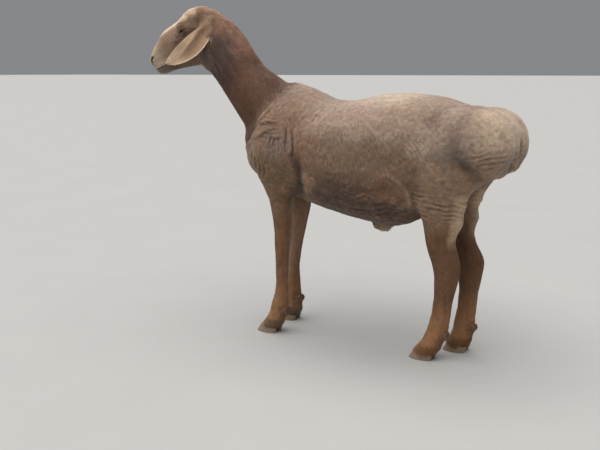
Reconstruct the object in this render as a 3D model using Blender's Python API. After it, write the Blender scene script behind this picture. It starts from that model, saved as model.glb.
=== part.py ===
"""A shorn fat-tailed sheep standing still, life size, in metres with +Z up.

The sheep faces -X, so its left side is -Y.  The flesh is shaped as overlapping forms (trunk, neck,
head, limbs, fat tail), fused into one body, and parted with thin cuts into the pieces that a person
would name.  Ears, eyes, claws and dewclaws are pieces of their own.
"""

import math

import bmesh
import bpy
import numpy as np
from mathutils import Matrix, Vector

# --- Driving dimensions, in metres -----------------------------------------------------------------

GAP = 0.0003  # clearance between neighbouring pieces
FUSE_VOXEL = 0.0055  # grid on which the overlapping forms are fused
FLESH_TRIANGLES = 4560  # of the fused body before it is parted
SOFTEN_STEPS = 34
SOFTNESS_BY_HEIGHT = ((0.30, 0.18), (0.44, 0.25), (0.54, 1.0), (0.95, 1.0))  # height, share
SOFTNESS_BY_FACE = ((-0.06, 1.0), (0.02, 0.28), (0.30, 0.16))  # distance along the head, share
FACE_ABOVE = 0.84

# Trunk, one row for each cross-section from the brisket to the rump:
# x, height of the back, height of the underside, half width, fullness of the upper half.
TRUNK = (
    (-0.430, 0.705, 0.640, 0.030, 2.0),
    (-0.412, 0.745, 0.592, 0.054, 2.0),
    (-0.380, 0.798, 0.538, 0.088, 2.0),
    (-0.325, 0.842, 0.498, 0.117, 1.8),
    (-0.250, 0.856, 0.476, 0.139, 1.7),
    (-0.170, 0.839, 0.452, 0.148, 1.8),
    (-0.090, 0.806, 0.432, 0.156, 2.0),
    (-0.010, 0.801, 0.416, 0.163, 2.1),
    (0.070, 0.818, 0.404, 0.168, 2.2),
    (0.140, 0.826, 0.398, 0.168, 2.3),
    (0.210, 0.825, 0.422, 0.163, 2.3),
    (0.290, 0.814, 0.475, 0.156, 2.3),
    (0.370, 0.790, 0.515, 0.143, 2.3),
    (0.430, 0.771, 0.560, 0.112, 2.2),
    (0.462, 0.735, 0.610, 0.060, 2.0),
)
WIDEST_AT = 0.44  # height of the trunk's widest line, as a share of its depth from below
SKULL_WIDEST_AT = 0.62
JAW_WIDEST_AT = 0.50

# Neck, from inside the shoulders to behind the jaw: x, y, z, half depth, half width.
NECK = (
    (-0.290, 0.000, 0.705, 0.112, 0.100),
    (-0.346, 0.000, 0.768, 0.112, 0.096),
    (-0.398, 0.000, 0.815, 0.101, 0.086),
    (-0.438, 0.000, 0.854, 0.093, 0.077),
    (-0.470, 0.000, 0.896, 0.094, 0.071),
    (-0.505, 0.000, 0.938, 0.097, 0.067),
    (-0.542, -0.004, 0.979, 0.0975, 0.063),
    (-0.576, -0.010, 1.014, 0.090, 0.058),
)

# Head frame: its origin is where the skull meets the neck, and its axis runs to the nose.
HEAD_ORIGIN = (-0.560, -0.002, 1.020)
HEAD_TURN = math.radians(12)  # to the sheep's left
HEAD_DROP = math.radians(28)  # nose below level

# Upper head, from the nape to the nose: distance along the axis, height of the crown or bridge,
# lower edge, half width, fullness.
SKULL = (
    (-0.055, 0.045, -0.040, 0.040, 2.0),
    (-0.035, 0.080, -0.055, 0.052, 2.0),
    (-0.005, 0.101, -0.050, 0.057, 2.1),
    (0.030, 0.113, -0.045, 0.059, 2.2),
    (0.060, 0.115, -0.040, 0.059, 2.3),
    (0.090, 0.106, -0.035, 0.056, 2.2),
    (0.120, 0.103, -0.032, 0.049, 2.1),
    (0.155, 0.103, -0.030, 0.043, 2.1),
    (0.185, 0.096, -0.026, 0.039, 2.1),
    (0.212, 0.080, -0.018, 0.037, 2.2),
    (0.235, 0.063, -0.012, 0.0355, 2.3),
    (0.253, 0.047, -0.006, 0.033, 2.3),
    (0.267, 0.032, 0.004, 0.025, 2.2),
)

# Lower jaw, from its angle to the chin, in the same measures.
JAW = (
    (-0.020, 0.030, -0.060, 0.034, 2.0),
    (0.010, 0.040, -0.080, 0.044, 2.1),
    (0.045, 0.040, -0.083, 0.046, 2.2),
    (0.085, 0.030, -0.075, 0.042, 2.2),
    (0.125, 0.020, -0.065, 0.037, 2.1),
    (0.165, 0.016, -0.052, 0.033, 2.1),
    (0.205, 0.012, -0.040, 0.031, 2.2),
    (0.236, 0.006, -0.036, 0.029, 2.2),
    (0.257, 0.000, -0.027, 0.022, 2.0),
)
LIPS = (0.222, 0.000, -0.008, 0.044, 0.0335, 0.018)  # along, out, up; three radii
NOSE_BRIDGE = (0.135, 0.000, 0.072, 0.075, 0.030, 0.032)
EAR_BASE = (-0.004, 0.048, 0.024, 0.026, 0.016, 0.024)
CHEEK = (0.040, 0.030, -0.030, 0.055, 0.026, 0.040)
BROW = (0.078, 0.046, 0.072, 0.030, 0.014, 0.016)
NOSTRIL_WING = (0.248, 0.017, 0.026, 0.020, 0.016, 0.020)

EYE_RADIUS = 0.0145
EYE_AT = (0.085, 0.0475, 0.049)  # along, out, up in the head frame

# Ear: root and tip in the head frame, outline widths, and how deep its leaf is cupped.
EAR_ROOT = (0.004, 0.047, 0.018)
EAR_TIP = (0.178, 0.100, -0.025)
EAR_ABOVE = 0.0185  # from the line between root and tip to the upper edge
EAR_BELOW = 0.0535  # and to the lower edge, which bulges more
EAR_CUP = 0.012
EAR_BOW = 0.020  # how far the middle of the ear stands out from that line
EAR_THICKNESS = 0.0060
EAR_FACES = (-0.18, 0.96, -0.10)  # where its hollow side looks, in the head frame
EAR_ABOVE_SHAPE = (0.20, 0.55)  # share of the width at the root, and bluntness at the tip
EAR_BELOW_SHAPE = (0.12, 0.60)
EAR_TIP_CROWDING = 1.25  # sections lie closer together towards the tip
EAR_LAST = 0.992  # share of the length at which the outline is closed off
EAR_CUP_AT_ROOT, EAR_CUP_LOST = 1.25, 0.80
EAR_THICK_AT_ROOT, EAR_THICK_LOST = 1.25, 0.65
EAR_RIM = 0.30  # thickness of the rim as a share of the middle's
EAR_NARROW = 0.02  # sections narrower than this are cupped less
EAR_CLEARANCE = 0.0012  # of the pocket that holds its root
EAR_RINGS = 13
EAR_SPANS = 6

# Limbs, from inside the body down to the foot: height, centre x, half depth, distance of the centre
# from the midline, half width.
FORELEG = (
    (0.790, -0.258, 0.050, 0.062, 0.032),
    (0.730, -0.276, 0.070, 0.080, 0.044),
    (0.660, -0.274, 0.080, 0.088, 0.052),
    (0.600, -0.271, 0.078, 0.090, 0.052),
    (0.550, -0.265, 0.067, 0.088, 0.048),
    (0.505, -0.257, 0.051, 0.085, 0.043),
    (0.460, -0.249, 0.0395, 0.081, 0.038),
    (0.410, -0.2440, 0.0335, 0.079, 0.033),
    (0.358, -0.2420, 0.0297, 0.078, 0.0295),
    (0.306, -0.2430, 0.0282, 0.078, 0.0280),
    (0.254, -0.2435, 0.0250, 0.078, 0.0240),
    (0.201, -0.2440, 0.0245, 0.078, 0.0225),
    (0.150, -0.2450, 0.0270, 0.078, 0.0235),
    (0.109, -0.2510, 0.0330, 0.078, 0.0275),
    (0.078, -0.2580, 0.0345, 0.078, 0.0280),
    (0.050, -0.2690, 0.0360, 0.078, 0.0310),
    (0.026, -0.2840, 0.0370, 0.078, 0.0335),
    (0.008, -0.2930, 0.0360, 0.078, 0.0320),
)
HINDLEG = (
    (0.760, 0.335, 0.070, 0.080, 0.042),
    (0.700, 0.330, 0.110, 0.092, 0.062),
    (0.630, 0.322, 0.132, 0.093, 0.071),
    (0.570, 0.312, 0.123, 0.090, 0.071),
    (0.520, 0.306, 0.098, 0.085, 0.064),
    (0.475, 0.313, 0.074, 0.079, 0.054),
    (0.435, 0.3180, 0.0630, 0.073, 0.0455),
    (0.398, 0.3100, 0.0510, 0.067, 0.0385),
    (0.364, 0.3130, 0.0495, 0.063, 0.0335),
    (0.334, 0.3215, 0.0500, 0.061, 0.0305),
    (0.306, 0.3305, 0.0490, 0.060, 0.0300),
    (0.272, 0.3330, 0.0435, 0.060, 0.0285),
    (0.242, 0.3300, 0.0395, 0.060, 0.0265),
    (0.200, 0.3260, 0.0340, 0.060, 0.0250),
    (0.150, 0.3200, 0.0335, 0.060, 0.0245),
    (0.122, 0.3150, 0.0350, 0.060, 0.0260),
    (0.087, 0.3060, 0.0365, 0.060, 0.0290),
    (0.056, 0.2925, 0.0375, 0.060, 0.0310),
    (0.030, 0.2750, 0.0385, 0.060, 0.0330),
    (0.010, 0.2660, 0.0370, 0.060, 0.0320),
)

# The right legs stand elsewhere: height, and how far the right leg is from the left one along x.
RIGHT_FORELEG_SHIFT = ((0.500, 0.000), (0.420, -0.012), (0.300, -0.034), (0.200, -0.046),
                       (0.100, -0.041), (0.040, -0.020), (0.000, -0.014))
RIGHT_HINDLEG_SHIFT = ((0.500, 0.000), (0.460, -0.005), (0.400, 0.014), (0.320, 0.033),
                       (0.200, 0.041), (0.100, 0.047), (0.040, 0.061), (0.000, 0.069))

# Fat tail: two lobes, each a centre (x, distance from the midline, z) and its three radii.
LOBE = (0.424, 0.076, 0.675, 0.106, 0.088, 0.112)
LOBE_ROOT = (0.360, 0.080, 0.700, 0.110, 0.072, 0.090)
RUMP = (0.402, 0.000, 0.705, 0.105, 0.085, 0.076)  # fills the cleft between the lobes at the top
TAIL_TIP = (0.455, 0.000, 0.615, 0.045, 0.030, 0.050)
PREPUCE = (0.085, 0.000, 0.398, 0.036, 0.017, 0.024)
ELBOW = (-0.220, 0.094, 0.522, 0.030, 0.032, 0.045)
HIP = (0.265, 0.074, 0.730, 0.075, 0.060, 0.062)

# Claws, in metres, with the slopes of their walls as run over rise.
CLAW_HALF_LENGTH = 0.038
CLAW_HALF_WIDTH = 0.0150
CLAW_SPREAD = 0.0172  # from the middle of the foot to the middle of one claw
CLAW_HEIGHT = 0.046  # before it is cut along the hairline
CLAW_LEVELS = 4
CLAW_RING_POINTS = 14
TOE_SLOPE = 0.62
HEEL_SLOPE = 0.30
CLAW_TAPER = 2.2  # share of its width that a claw loses for each metre of height
CLAW_BLUNTNESS = (0.85, 0.75)  # powers that square off the sole's ends and its sides
INNER_WALL = 0.82  # the wall beside the cleft is this much flatter
TOE_NARROWING = 0.34
TOE_CURVE = 0.0035  # how far the toe leans towards the other claw
SOLE_BACK = 0.006  # the sole's middle lies this far ahead of the leg's last section
CORONET_FRONT = 0.036  # height of the hairline above the toe
CORONET_BACK = 0.018  # and above the heel
HAIRLINE_BLOCK = (0.075, 0.048, 0.050)  # half sizes of what is cut away under it
DEWCLAW_RADII = (0.0095, 0.0070, 0.0120)
DEWCLAW_HEIGHT = 0.082
DEWCLAW_SPREAD = 0.0135
DEWCLAW_DEPTH = 0.90  # of the leg's half depth, where its middle sits

# Parting cuts in the side view: centre (x, z), direction (x, z), half length, half width.
MIDLINE_CUTS = (
    ((-0.572, 0.990), (0.25, 1.00), 0.160, 0.12),  # behind the jaw and the poll
    ((-0.345, 0.745), (0.62, 0.80), 0.215, 0.17),  # along the edge of the shorn wool
    ((0.408, 0.665), (-0.04, 1.00), 0.160, 0.21),  # in front of the fat tail
)
# The same on each leg, with the distance of the cut's centre from the midline last.
FORELEG_CUTS = (
    ((-0.262, 0.464), (0.95, -0.31), 0.085, 0.075, 0.084),  # below the elbow
    ((-0.244, 0.265), (1.00, 0.00), 0.060, 0.055, 0.078),  # below the knee
)
HINDLEG_CUTS = (
    ((0.318, 0.470), (0.94, 0.34), 0.093, 0.068, 0.0715),  # below the flank
    ((0.335, 0.262), (1.00, 0.00), 0.075, 0.055, 0.060),  # below the hock
)
# A point near the middle of each piece that is cut loose, by which it is named.
MIDDLES = {"head": (-0.70, 0.0, 1.0), "neck": (-0.46, 0.0, 0.88), "trunk": (0.0, 0.0, 0.62),
           "fat_tail": (0.47, 0.0, 0.68)}
LEG_MIDDLES = {"upper_leg": 0.37, "lower_leg": 0.14}  # heights

RING_POINTS = 28
SPANS = 4  # smooth sections between two rows of a table


# --- Tools -----------------------------------------------------------------------------------------


def clear_scene():
    for obj in list(bpy.data.objects):
        bpy.data.objects.remove(obj)


def smooth_rows(rows, spans=SPANS):
    """The rows of a table joined by a Catmull-Rom curve, with `spans` steps from row to row."""
    table = np.array(rows, float)
    ends = np.vstack([2 * table[0] - table[1], table, 2 * table[-1] - table[-2]])
    curve = []
    for i in range(1, len(ends) - 2):
        before, here, there, after = ends[i - 1 : i + 3]
        for t in np.arange(spans) / spans:
            curve.append(
                here
                + 0.5 * t * (there - before)
                + t * t * (before - 2.5 * here + 2 * there - 0.5 * after)
                + t**3 * (1.5 * (here - there) + 0.5 * (after - before))
            )
    curve.append(table[-1])
    return curve


def oval(half_width, above, below, fullness=2.0, count=RING_POINTS):
    """Points (across, up) round a section; `fullness` squares off the part above its centre."""
    points = []
    for i in range(count):
        angle = 2 * math.pi * i / count
        c, s = math.cos(angle), math.sin(angle)
        power = 2 / fullness if s > 0 else 1.0
        across = math.copysign(abs(c) ** power, c) * half_width
        up = abs(s) ** power * above if s > 0 else s * below
        points.append((across, up))
    return points


def new_object(name, bm):
    mesh = bpy.data.meshes.new(name)
    bmesh.ops.recalc_face_normals(bm, faces=bm.faces)
    bm.to_mesh(mesh)
    bm.free()
    obj = bpy.data.objects.new(name, mesh)
    bpy.context.collection.objects.link(obj)
    return obj


def loft(name, rings):
    """A closed body through rings of points, with a flat end on each side."""
    bm = bmesh.new()
    loops = [[bm.verts.new(point) for point in ring] for ring in rings]
    for low, high in zip(loops, loops[1:]):
        for i in range(len(low)):
            j = (i + 1) % len(low)
            bm.faces.new((low[i], low[j], high[j], high[i]))
    bm.faces.new(loops[0])
    bm.faces.new(loops[-1])
    return new_object(name, bm)


def ellipsoid(name, centre, radii, place=Matrix.Identity(4), segments=24):
    bm = bmesh.new()
    bmesh.ops.create_uvsphere(bm, u_segments=segments, v_segments=segments // 2, radius=1.0)
    shape = place @ Matrix.Translation(centre) @ Matrix.Diagonal((*radii, 1.0))
    bmesh.ops.transform(bm, matrix=shape, verts=bm.verts)
    return new_object(name, bm)


def box(name, centre, half, turn=Matrix.Identity(3)):
    bm = bmesh.new()
    bmesh.ops.create_cube(bm, size=2.0)
    shape = Matrix.Translation(centre) @ turn.to_4x4() @ Matrix.Diagonal((*half, 1.0))
    bmesh.ops.transform(bm, matrix=shape, verts=bm.verts)
    return new_object(name, bm)


def joined(name, objects):
    """One object that holds all these meshes, and the objects are removed."""
    bm = bmesh.new()
    for obj in objects:
        bm.from_mesh(obj.data)
        bpy.data.objects.remove(obj)
    mesh = bpy.data.meshes.new(name)
    bm.to_mesh(mesh)
    bm.free()
    obj = bpy.data.objects.new(name, mesh)
    bpy.context.collection.objects.link(obj)
    return obj


def apply_modifiers(obj):
    bpy.context.view_layer.update()
    shape = bpy.data.meshes.new_from_object(obj.evaluated_get(bpy.context.evaluated_depsgraph_get()))
    obj.modifiers.clear()
    obj.data = shape


def cut(body, cutters):
    """Takes the joined cutters away from the body."""
    tool = joined("cutter", cutters)
    boolean = body.modifiers.new("cut", "BOOLEAN")
    boolean.operation = "DIFFERENCE"
    boolean.solver = "EXACT"
    boolean.object = tool
    apply_modifiers(body)
    bpy.data.objects.remove(tool)


def grown_copy(obj, by=2 * GAP):
    """The same shape larger all round, which cuts a pocket with clearance."""
    bm = bmesh.new()
    bm.from_mesh(obj.data)
    bm.normal_update()
    places = [vert.co + vert.normal * by for vert in bm.verts]
    for vert, place in zip(bm.verts, places):
        vert.co = place
    return new_object(obj.name + "_pocket", bm)


def head_place(side=1.0):
    """From (along, out, up) beside the head to the sheep's frame; side is -1 left, +1 right."""
    along = Vector((-math.cos(HEAD_TURN) * math.cos(HEAD_DROP),
                    -math.sin(HEAD_TURN) * math.cos(HEAD_DROP),
                    -math.sin(HEAD_DROP)))
    right = Vector((-math.sin(HEAD_TURN), math.cos(HEAD_TURN), 0.0))
    up = right.cross(along)
    if up.z < 0:
        up = -up
    turn = Matrix((along, right * side, up)).transposed()
    return Matrix.Translation(HEAD_ORIGIN) @ turn.to_4x4()


# --- Forms of the flesh ----------------------------------------------------------------------------


def make_trunk():
    rings = []
    for x, back, under, half_width, fullness in smooth_rows(TRUNK):
        centre = under + WIDEST_AT * (back - under)
        section = oval(half_width, back - centre, centre - under, fullness)
        rings.append([(x, across, centre + up) for across, up in section])
    return loft("trunk_form", rings)


def make_neck():
    rows = smooth_rows(NECK)
    rings = []
    for i, (x, y, z, half_depth, half_width) in enumerate(rows):
        ahead, behind = rows[min(i + 1, len(rows) - 1)], rows[max(i - 1, 0)]
        forward = Vector(ahead[:3] - behind[:3]).normalized()
        side = forward.cross(Vector((0, 0, 1))).normalized()
        up = side.cross(forward)
        centre = Vector((x, y, z))
        section = oval(half_width, half_depth, half_depth)
        rings.append([centre + side * across + up * height for across, height in section])
    return loft("neck_form", rings)


def make_head_form(name, rows, widest_at):
    place = head_place()
    rings = []
    for along, top, bottom, half_width, fullness in smooth_rows(rows):
        centre = bottom + widest_at * (top - bottom)
        section = oval(half_width, top - centre, centre - bottom, fullness)
        rings.append([place @ Vector((along, across, centre + up)) for across, up in section])
    return loft(name, rings)


def leg_shift(table, height):
    heights, shifts = zip(*reversed(table))
    return float(np.interp(height, heights, shifts))


def make_leg(name, rows, side, shifts):
    rings = []
    for height, x, half_depth, off, half_width in smooth_rows(rows):
        x += leg_shift(shifts, height) if side > 0 else 0.0
        section = oval(half_width, half_depth, half_depth)
        rings.append([(x + deep, side * off + across, height) for across, deep in section])
    return loft(name, rings)


def paired(name, form, place=None):
    """The same rounded form on each side of the body."""
    made = []
    for side in (-1, 1):
        frame = head_place(side) if place else Matrix.Diagonal((1, side, 1, 1))
        made.append(ellipsoid(f"{name}_{side}", form[:3], form[3:], frame))
    return made


def make_flesh():
    forms = [make_trunk(), make_neck()]
    forms.append(make_head_form("skull_form", SKULL, SKULL_WIDEST_AT))
    forms.append(make_head_form("jaw_form", JAW, JAW_WIDEST_AT))
    for side in (-1, 1):
        forms.append(make_leg("fore_form", FORELEG, side, RIGHT_FORELEG_SHIFT))
        forms.append(make_leg("hind_form", HINDLEG, side, RIGHT_HINDLEG_SHIFT))
    for name, form in (("lobe", LOBE), ("lobe_root", LOBE_ROOT), ("elbow", ELBOW), ("hip", HIP)):
        forms += paired(name, form)
    for name, form in (("cheek", CHEEK), ("brow", BROW), ("ear_base", EAR_BASE),
                       ("nostril_wing", NOSTRIL_WING)):
        forms += paired(name, form, "head")
    for name, form in (("lips", LIPS), ("nose_bridge", NOSE_BRIDGE)):
        forms.append(ellipsoid(name, form[:3], form[3:], head_place()))
    for name, form in (("rump", RUMP), ("tail_tip", TAIL_TIP), ("prepuce", PREPUCE)):
        forms.append(ellipsoid(name, form[:3], form[3:]))
    flesh = joined("flesh", forms)
    fuse = flesh.modifiers.new("fuse", "REMESH")
    fuse.mode = "VOXEL"
    fuse.voxel_size = FUSE_VOXEL
    apply_modifiers(flesh)
    soften(flesh)
    lighten(flesh, FLESH_TRIANGLES)
    return flesh


def soften(obj):
    """Rounds off where forms meet, most on the trunk and least on the slim legs and the face."""
    near = obj.vertex_groups.new(name="softness")
    to_head = head_place().inverted()
    for vert in obj.data.vertices:
        on_body = np.interp(vert.co.z, *zip(*SOFTNESS_BY_HEIGHT))
        off_face = np.interp((to_head @ vert.co).x, *zip(*SOFTNESS_BY_FACE))
        on_face = vert.co.z > FACE_ABOVE
        near.add([vert.index], float(off_face if on_face else on_body), "REPLACE")
    smooth = obj.modifiers.new("soften", "SMOOTH")
    smooth.factor = 0.5
    smooth.iterations = SOFTEN_STEPS
    smooth.vertex_group = near.name
    apply_modifiers(obj)
    obj.vertex_groups.clear()


def lighten(obj, triangles):
    """Fewer faces, where the surface is flattest."""
    thin = obj.modifiers.new("lighten", "DECIMATE")
    thin.use_collapse_triangulate = True
    thin.ratio = triangles / (2 * len(obj.data.polygons))
    apply_modifiers(obj)


# --- Pieces beside the flesh -----------------------------------------------------------------------


def ear_edges(t):
    """How far the two edges are from the line between root and tip, a share t of the way along."""
    edges = []
    for width, (start, power) in ((EAR_ABOVE, EAR_ABOVE_SHAPE), (EAR_BELOW, EAR_BELOW_SHAPE)):
        swell = math.sin(math.pi * (start + (1 - start) * t))
        edges.append(width * max(swell, 0.0) ** power)
    return edges


def make_ear(name, side):
    """A hanging leaf, cupped towards the outside, whose root sits in the head."""
    place = head_place(side)
    root, tip = Vector(EAR_ROOT), Vector(EAR_TIP)
    along = (tip - root).normalized()
    length = (tip - root).length
    outward = Vector(EAR_FACES)
    outward = (outward - along * outward.dot(along)).normalized()
    down = along.cross(outward)
    if down.z > 0:
        down = -down
    rings = []
    for i in range(EAR_RINGS):
        t = 1 - (1 - i / (EAR_RINGS - 1)) ** EAR_TIP_CROWDING
        above, below = ear_edges(min(t, EAR_LAST))
        half = (above + below) / 2
        bow = EAR_BOW * math.sin(math.pi * t ** 0.8)
        centre = root + along * length * t + down * (below - above) / 2 + outward * bow
        cup = EAR_CUP * (EAR_CUP_AT_ROOT - EAR_CUP_LOST * t) * min(1.0, half / EAR_NARROW)
        leaf = EAR_THICKNESS * (EAR_THICK_AT_ROOT - EAR_THICK_LOST * t)
        front, back = [], []
        for k in range(EAR_SPANS + 1):
            v = 2 * k / EAR_SPANS - 1
            thick = leaf * (EAR_RIM + (1 - EAR_RIM) * (1 - v * v))
            lift = cup * (v * v - 0.5)
            middle = centre + down * half * v + outward * lift
            front.append(middle + outward * thick / 2)
            back.append(middle - outward * thick / 2)
        rings.append([place @ point for point in front + back[::-1]])
    return loft(name, rings)


def make_eye(name, side):
    return ellipsoid(name, EYE_AT, (EYE_RADIUS,) * 3, head_place(side), segments=14)


LEGS = (
    ("fore", FORELEG, RIGHT_FORELEG_SHIFT, FORELEG_CUTS),
    ("hind", HINDLEG, RIGHT_HINDLEG_SHIFT, HINDLEG_CUTS),
)
SIDES = (("left", -1), ("right", 1))


def leg_place(rows, shifts, side, height):
    """Centre and half depth of a leg at one height."""
    heights, xs, depths, offs = np.array(rows)[::-1, :4].T
    x = float(np.interp(height, heights, xs))
    x += leg_shift(shifts, height) if side > 0 else 0.0
    off = float(np.interp(height, heights, offs))
    return Vector((x, side * off, height)), float(np.interp(height, heights, depths))


def foot_centre(rows, shifts, side):
    """Where the sole of this leg is centred."""
    centre, _ = leg_place(rows, shifts, side, 0.0)
    return centre - Vector((SOLE_BACK, 0, 0))


def coronet_plane(foot):
    """A point on the hairline of the claws and its upward normal."""
    slope = (CORONET_FRONT - CORONET_BACK) / (2 * CLAW_HALF_LENGTH)
    middle = foot + Vector((0, 0, (CORONET_FRONT + CORONET_BACK) / 2))
    return middle, Vector((slope, 0, 1)).normalized()


def under_hairline(foot):
    """A block that takes the flesh away below the hairline of one foot."""
    point, normal = coronet_plane(foot)
    along = Vector((normal.z, 0, -normal.x))
    turn = Matrix((along, Vector((0, 1, 0)), normal)).transposed()
    return box("under_hairline", point - normal * HAIRLINE_BLOCK[2], HAIRLINE_BLOCK, turn)


def make_claw(name, foot, out):
    """One half of a cloven hoof: flat sole, raked toe wall, flatter wall beside the cleft."""
    rings = []
    for i in range(CLAW_LEVELS):
        z = CLAW_HEIGHT * i / (CLAW_LEVELS - 1)
        toe = -CLAW_HALF_LENGTH + TOE_SLOPE * z
        heel = CLAW_HALF_LENGTH + HEEL_SLOPE * z
        half_width = CLAW_HALF_WIDTH * (1 - CLAW_TAPER * z)
        middle, half = (toe + heel) / 2, (heel - toe) / 2
        ring = []
        for k in range(CLAW_RING_POINTS):
            angle = 2 * math.pi * k / CLAW_RING_POINTS
            c, s = math.cos(angle), math.sin(angle)
            ahead = max(0.0, -c)
            x = middle + half * math.copysign(abs(c) ** CLAW_BLUNTNESS[0], c)
            y = half_width * math.copysign(abs(s) ** CLAW_BLUNTNESS[1], s)
            y *= 1 - TOE_NARROWING * ahead**2
            y *= INNER_WALL if s * out < 0 else 1.0
            y += out * (CLAW_SPREAD - TOE_CURVE * ahead)
            ring.append(foot + Vector((x, y, z)))
        rings.append(ring)
    claw = loft(name, rings)
    point, normal = coronet_plane(foot)
    bm = bmesh.new()
    bm.from_mesh(claw.data)
    everything = bm.verts[:] + bm.edges[:] + bm.faces[:]
    below = point - normal * GAP
    made = bmesh.ops.bisect_plane(
        bm, geom=everything, plane_co=below, plane_no=normal, clear_outer=True
    )
    rim = [part for part in made["geom_cut"] if isinstance(part, bmesh.types.BMEdge)]
    bmesh.ops.holes_fill(bm, edges=rim)
    bmesh.ops.recalc_face_normals(bm, faces=bm.faces)
    bm.to_mesh(claw.data)
    bm.free()
    return claw


def make_dewclaw(name, rows, shifts, side, out):
    """One of the two small horns behind the pastern."""
    centre, half_depth = leg_place(rows, shifts, side, DEWCLAW_HEIGHT)
    centre += Vector((half_depth * DEWCLAW_DEPTH, out * DEWCLAW_SPREAD, 0))
    return ellipsoid(name, centre, DEWCLAW_RADII, segments=8)


# --- Parting the flesh -----------------------------------------------------------------------------


def slab(centre, across, half_span, half_side, y=0.0):
    """A thin block along the direction `across` (x, z) in the side view, for one parting cut."""
    direction = Vector((across[0], 0, across[1])).normalized()
    side = Vector((0, 1, 0))
    turn = Matrix((direction, side, direction.cross(side))).transposed()
    return box("slab", (centre[0], y, centre[1]), (half_span, half_side, GAP / 2), turn)


def parting_slabs():
    slabs = [slab(*row) for row in MIDLINE_CUTS]
    for _, _, shifts, cuts in LEGS:
        for _, side in SIDES:
            for (x, z), across, half_span, half_side, off in cuts:
                x += leg_shift(shifts, z) if side > 0 else 0.0
                slabs.append(slab((x, z), across, half_span, half_side, side * off))
    return slabs


def loose_parts(flesh):
    """One bmesh for each part of the mesh that hangs together."""
    bm = bmesh.new()
    bm.from_mesh(flesh.data)
    left = set(bm.faces)
    parts = []
    for seed in bm.faces:
        if seed not in left:
            continue
        left.discard(seed)
        island, edge = [seed], [seed]
        while edge:
            near = {face for vert in edge.pop().verts for face in vert.link_faces} & left
            left -= near
            fresh = sorted(near, key=lambda face: face.index)
            island += fresh
            edge += fresh
        part = bmesh.new()
        copies = {}
        for face in island:
            for vert in face.verts:
                if vert not in copies:
                    copies[vert] = part.verts.new(vert.co)
            part.faces.new([copies[vert] for vert in face.verts])
        parts.append(part)
    bm.free()
    return parts


def piece_name(part):
    """The name of the middle that is nearest to the middle of this part's box."""
    places = np.array([vert.co for vert in part.verts])
    middle = (places.min(axis=0) + places.max(axis=0)) / 2
    middles = dict(MIDDLES)
    for end, rows, shifts, _ in LEGS:
        for side_name, side in SIDES:
            for piece, height in LEG_MIDDLES.items():
                centre, _ = leg_place(rows, shifts, side, height)
                middles[f"{side_name}_{end}_{piece}"] = centre
    return min(middles, key=lambda name: np.linalg.norm(np.array(middles[name]) - middle))


def part_flesh(flesh):
    """Cuts the fused body with thin slabs and names what comes loose."""
    cut(flesh, parting_slabs())
    pieces = [new_object(piece_name(part), part) for part in loose_parts(flesh)]
    bpy.data.objects.remove(flesh)
    return pieces


# --- Materials -------------------------------------------------------------------------------------


def material(name, colour, roughness):
    made = bpy.data.materials.new(name)
    made.use_nodes = True
    shader = made.node_tree.nodes["Principled BSDF"]
    shader.inputs["Base Color"].default_value = (*colour, 1)
    shader.inputs["Roughness"].default_value = roughness
    shader.inputs["Metallic"].default_value = 0.0
    return made


def colour_pieces(pieces):
    fleece = material("shorn_fleece", (0.33, 0.25, 0.19), 0.95)
    hair = material("reddish_hair", (0.20, 0.11, 0.07), 0.85)
    pale = material("pale_face_hair", (0.38, 0.29, 0.21), 0.85)
    horn = material("hoof_horn", (0.12, 0.09, 0.07), 0.45)
    eyeball = material("eyeball", (0.03, 0.02, 0.01), 0.08)
    for piece in pieces:
        name = piece.name
        if name in ("trunk", "fat_tail"):
            chosen = fleece
        elif "claw" in name:
            chosen = horn
        elif "eye" in name:
            chosen = eyeball
        elif "ear" in name or name == "head":
            chosen = pale
        else:
            chosen = hair
        piece.data.materials.clear()
        piece.data.materials.append(chosen)
        piece.data.shade_smooth()
        piece.data.set_sharp_from_angle(angle=math.radians(50))


def stand_on_origin(pieces):
    """Moves all pieces so that the middle of their common box is over the origin, soles at z = 0."""
    corners = np.array([vert.co for piece in pieces for vert in piece.data.vertices])
    low, high = corners.min(axis=0), corners.max(axis=0)
    shift = Vector((-(low[0] + high[0]) / 2, -(low[1] + high[1]) / 2, -low[2]))
    print("moved by", [round(value, 5) for value in shift])
    for piece in pieces:
        piece.data.transform(Matrix.Translation(shift))


def main():
    clear_scene()
    flesh = make_flesh()
    pieces = []
    pockets = []
    hairlines = []
    for end, rows, shifts, _ in LEGS:
        for side_name, side in SIDES:
            foot = foot_centre(rows, shifts, side)
            hairlines.append(under_hairline(foot))
            for place, out in (("inner", -side), ("outer", side)):
                label = f"{side_name}_{end}_{place}"
                pieces.append(make_claw(f"{label}_claw", foot, out))
                dewclaw = make_dewclaw(f"{label}_dewclaw", rows, shifts, side, out)
                pockets.append(grown_copy(dewclaw))
                pieces.append(dewclaw)
    for side_name, side in SIDES:
        ear = make_ear(f"{side_name}_ear", side)
        eye = make_eye(f"{side_name}_eye", side)
        pockets += [grown_copy(ear, EAR_CLEARANCE), grown_copy(eye)]
        pieces += [ear, eye]
    cut(flesh, hairlines)
    cut(flesh, pockets)
    pieces += part_flesh(flesh)
    stand_on_origin(pieces)
    colour_pieces(pieces)


main()
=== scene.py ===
# %% [markdown]
# # A shorn, fat-rumped sheep, life size and standing still
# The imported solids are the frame.  One skin is drawn over the nodes of flesh, and a coat of small
# solid tufts is set on the skin.  Ears belong to the skin, eyes and claws stay pieces of their own.
# The sheep faces -X, its left side is -Y, and everything is in metres.

# %% Load the frame
import math

import bmesh
import bpy
import numpy as np
from mathutils import Matrix, Vector


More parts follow.
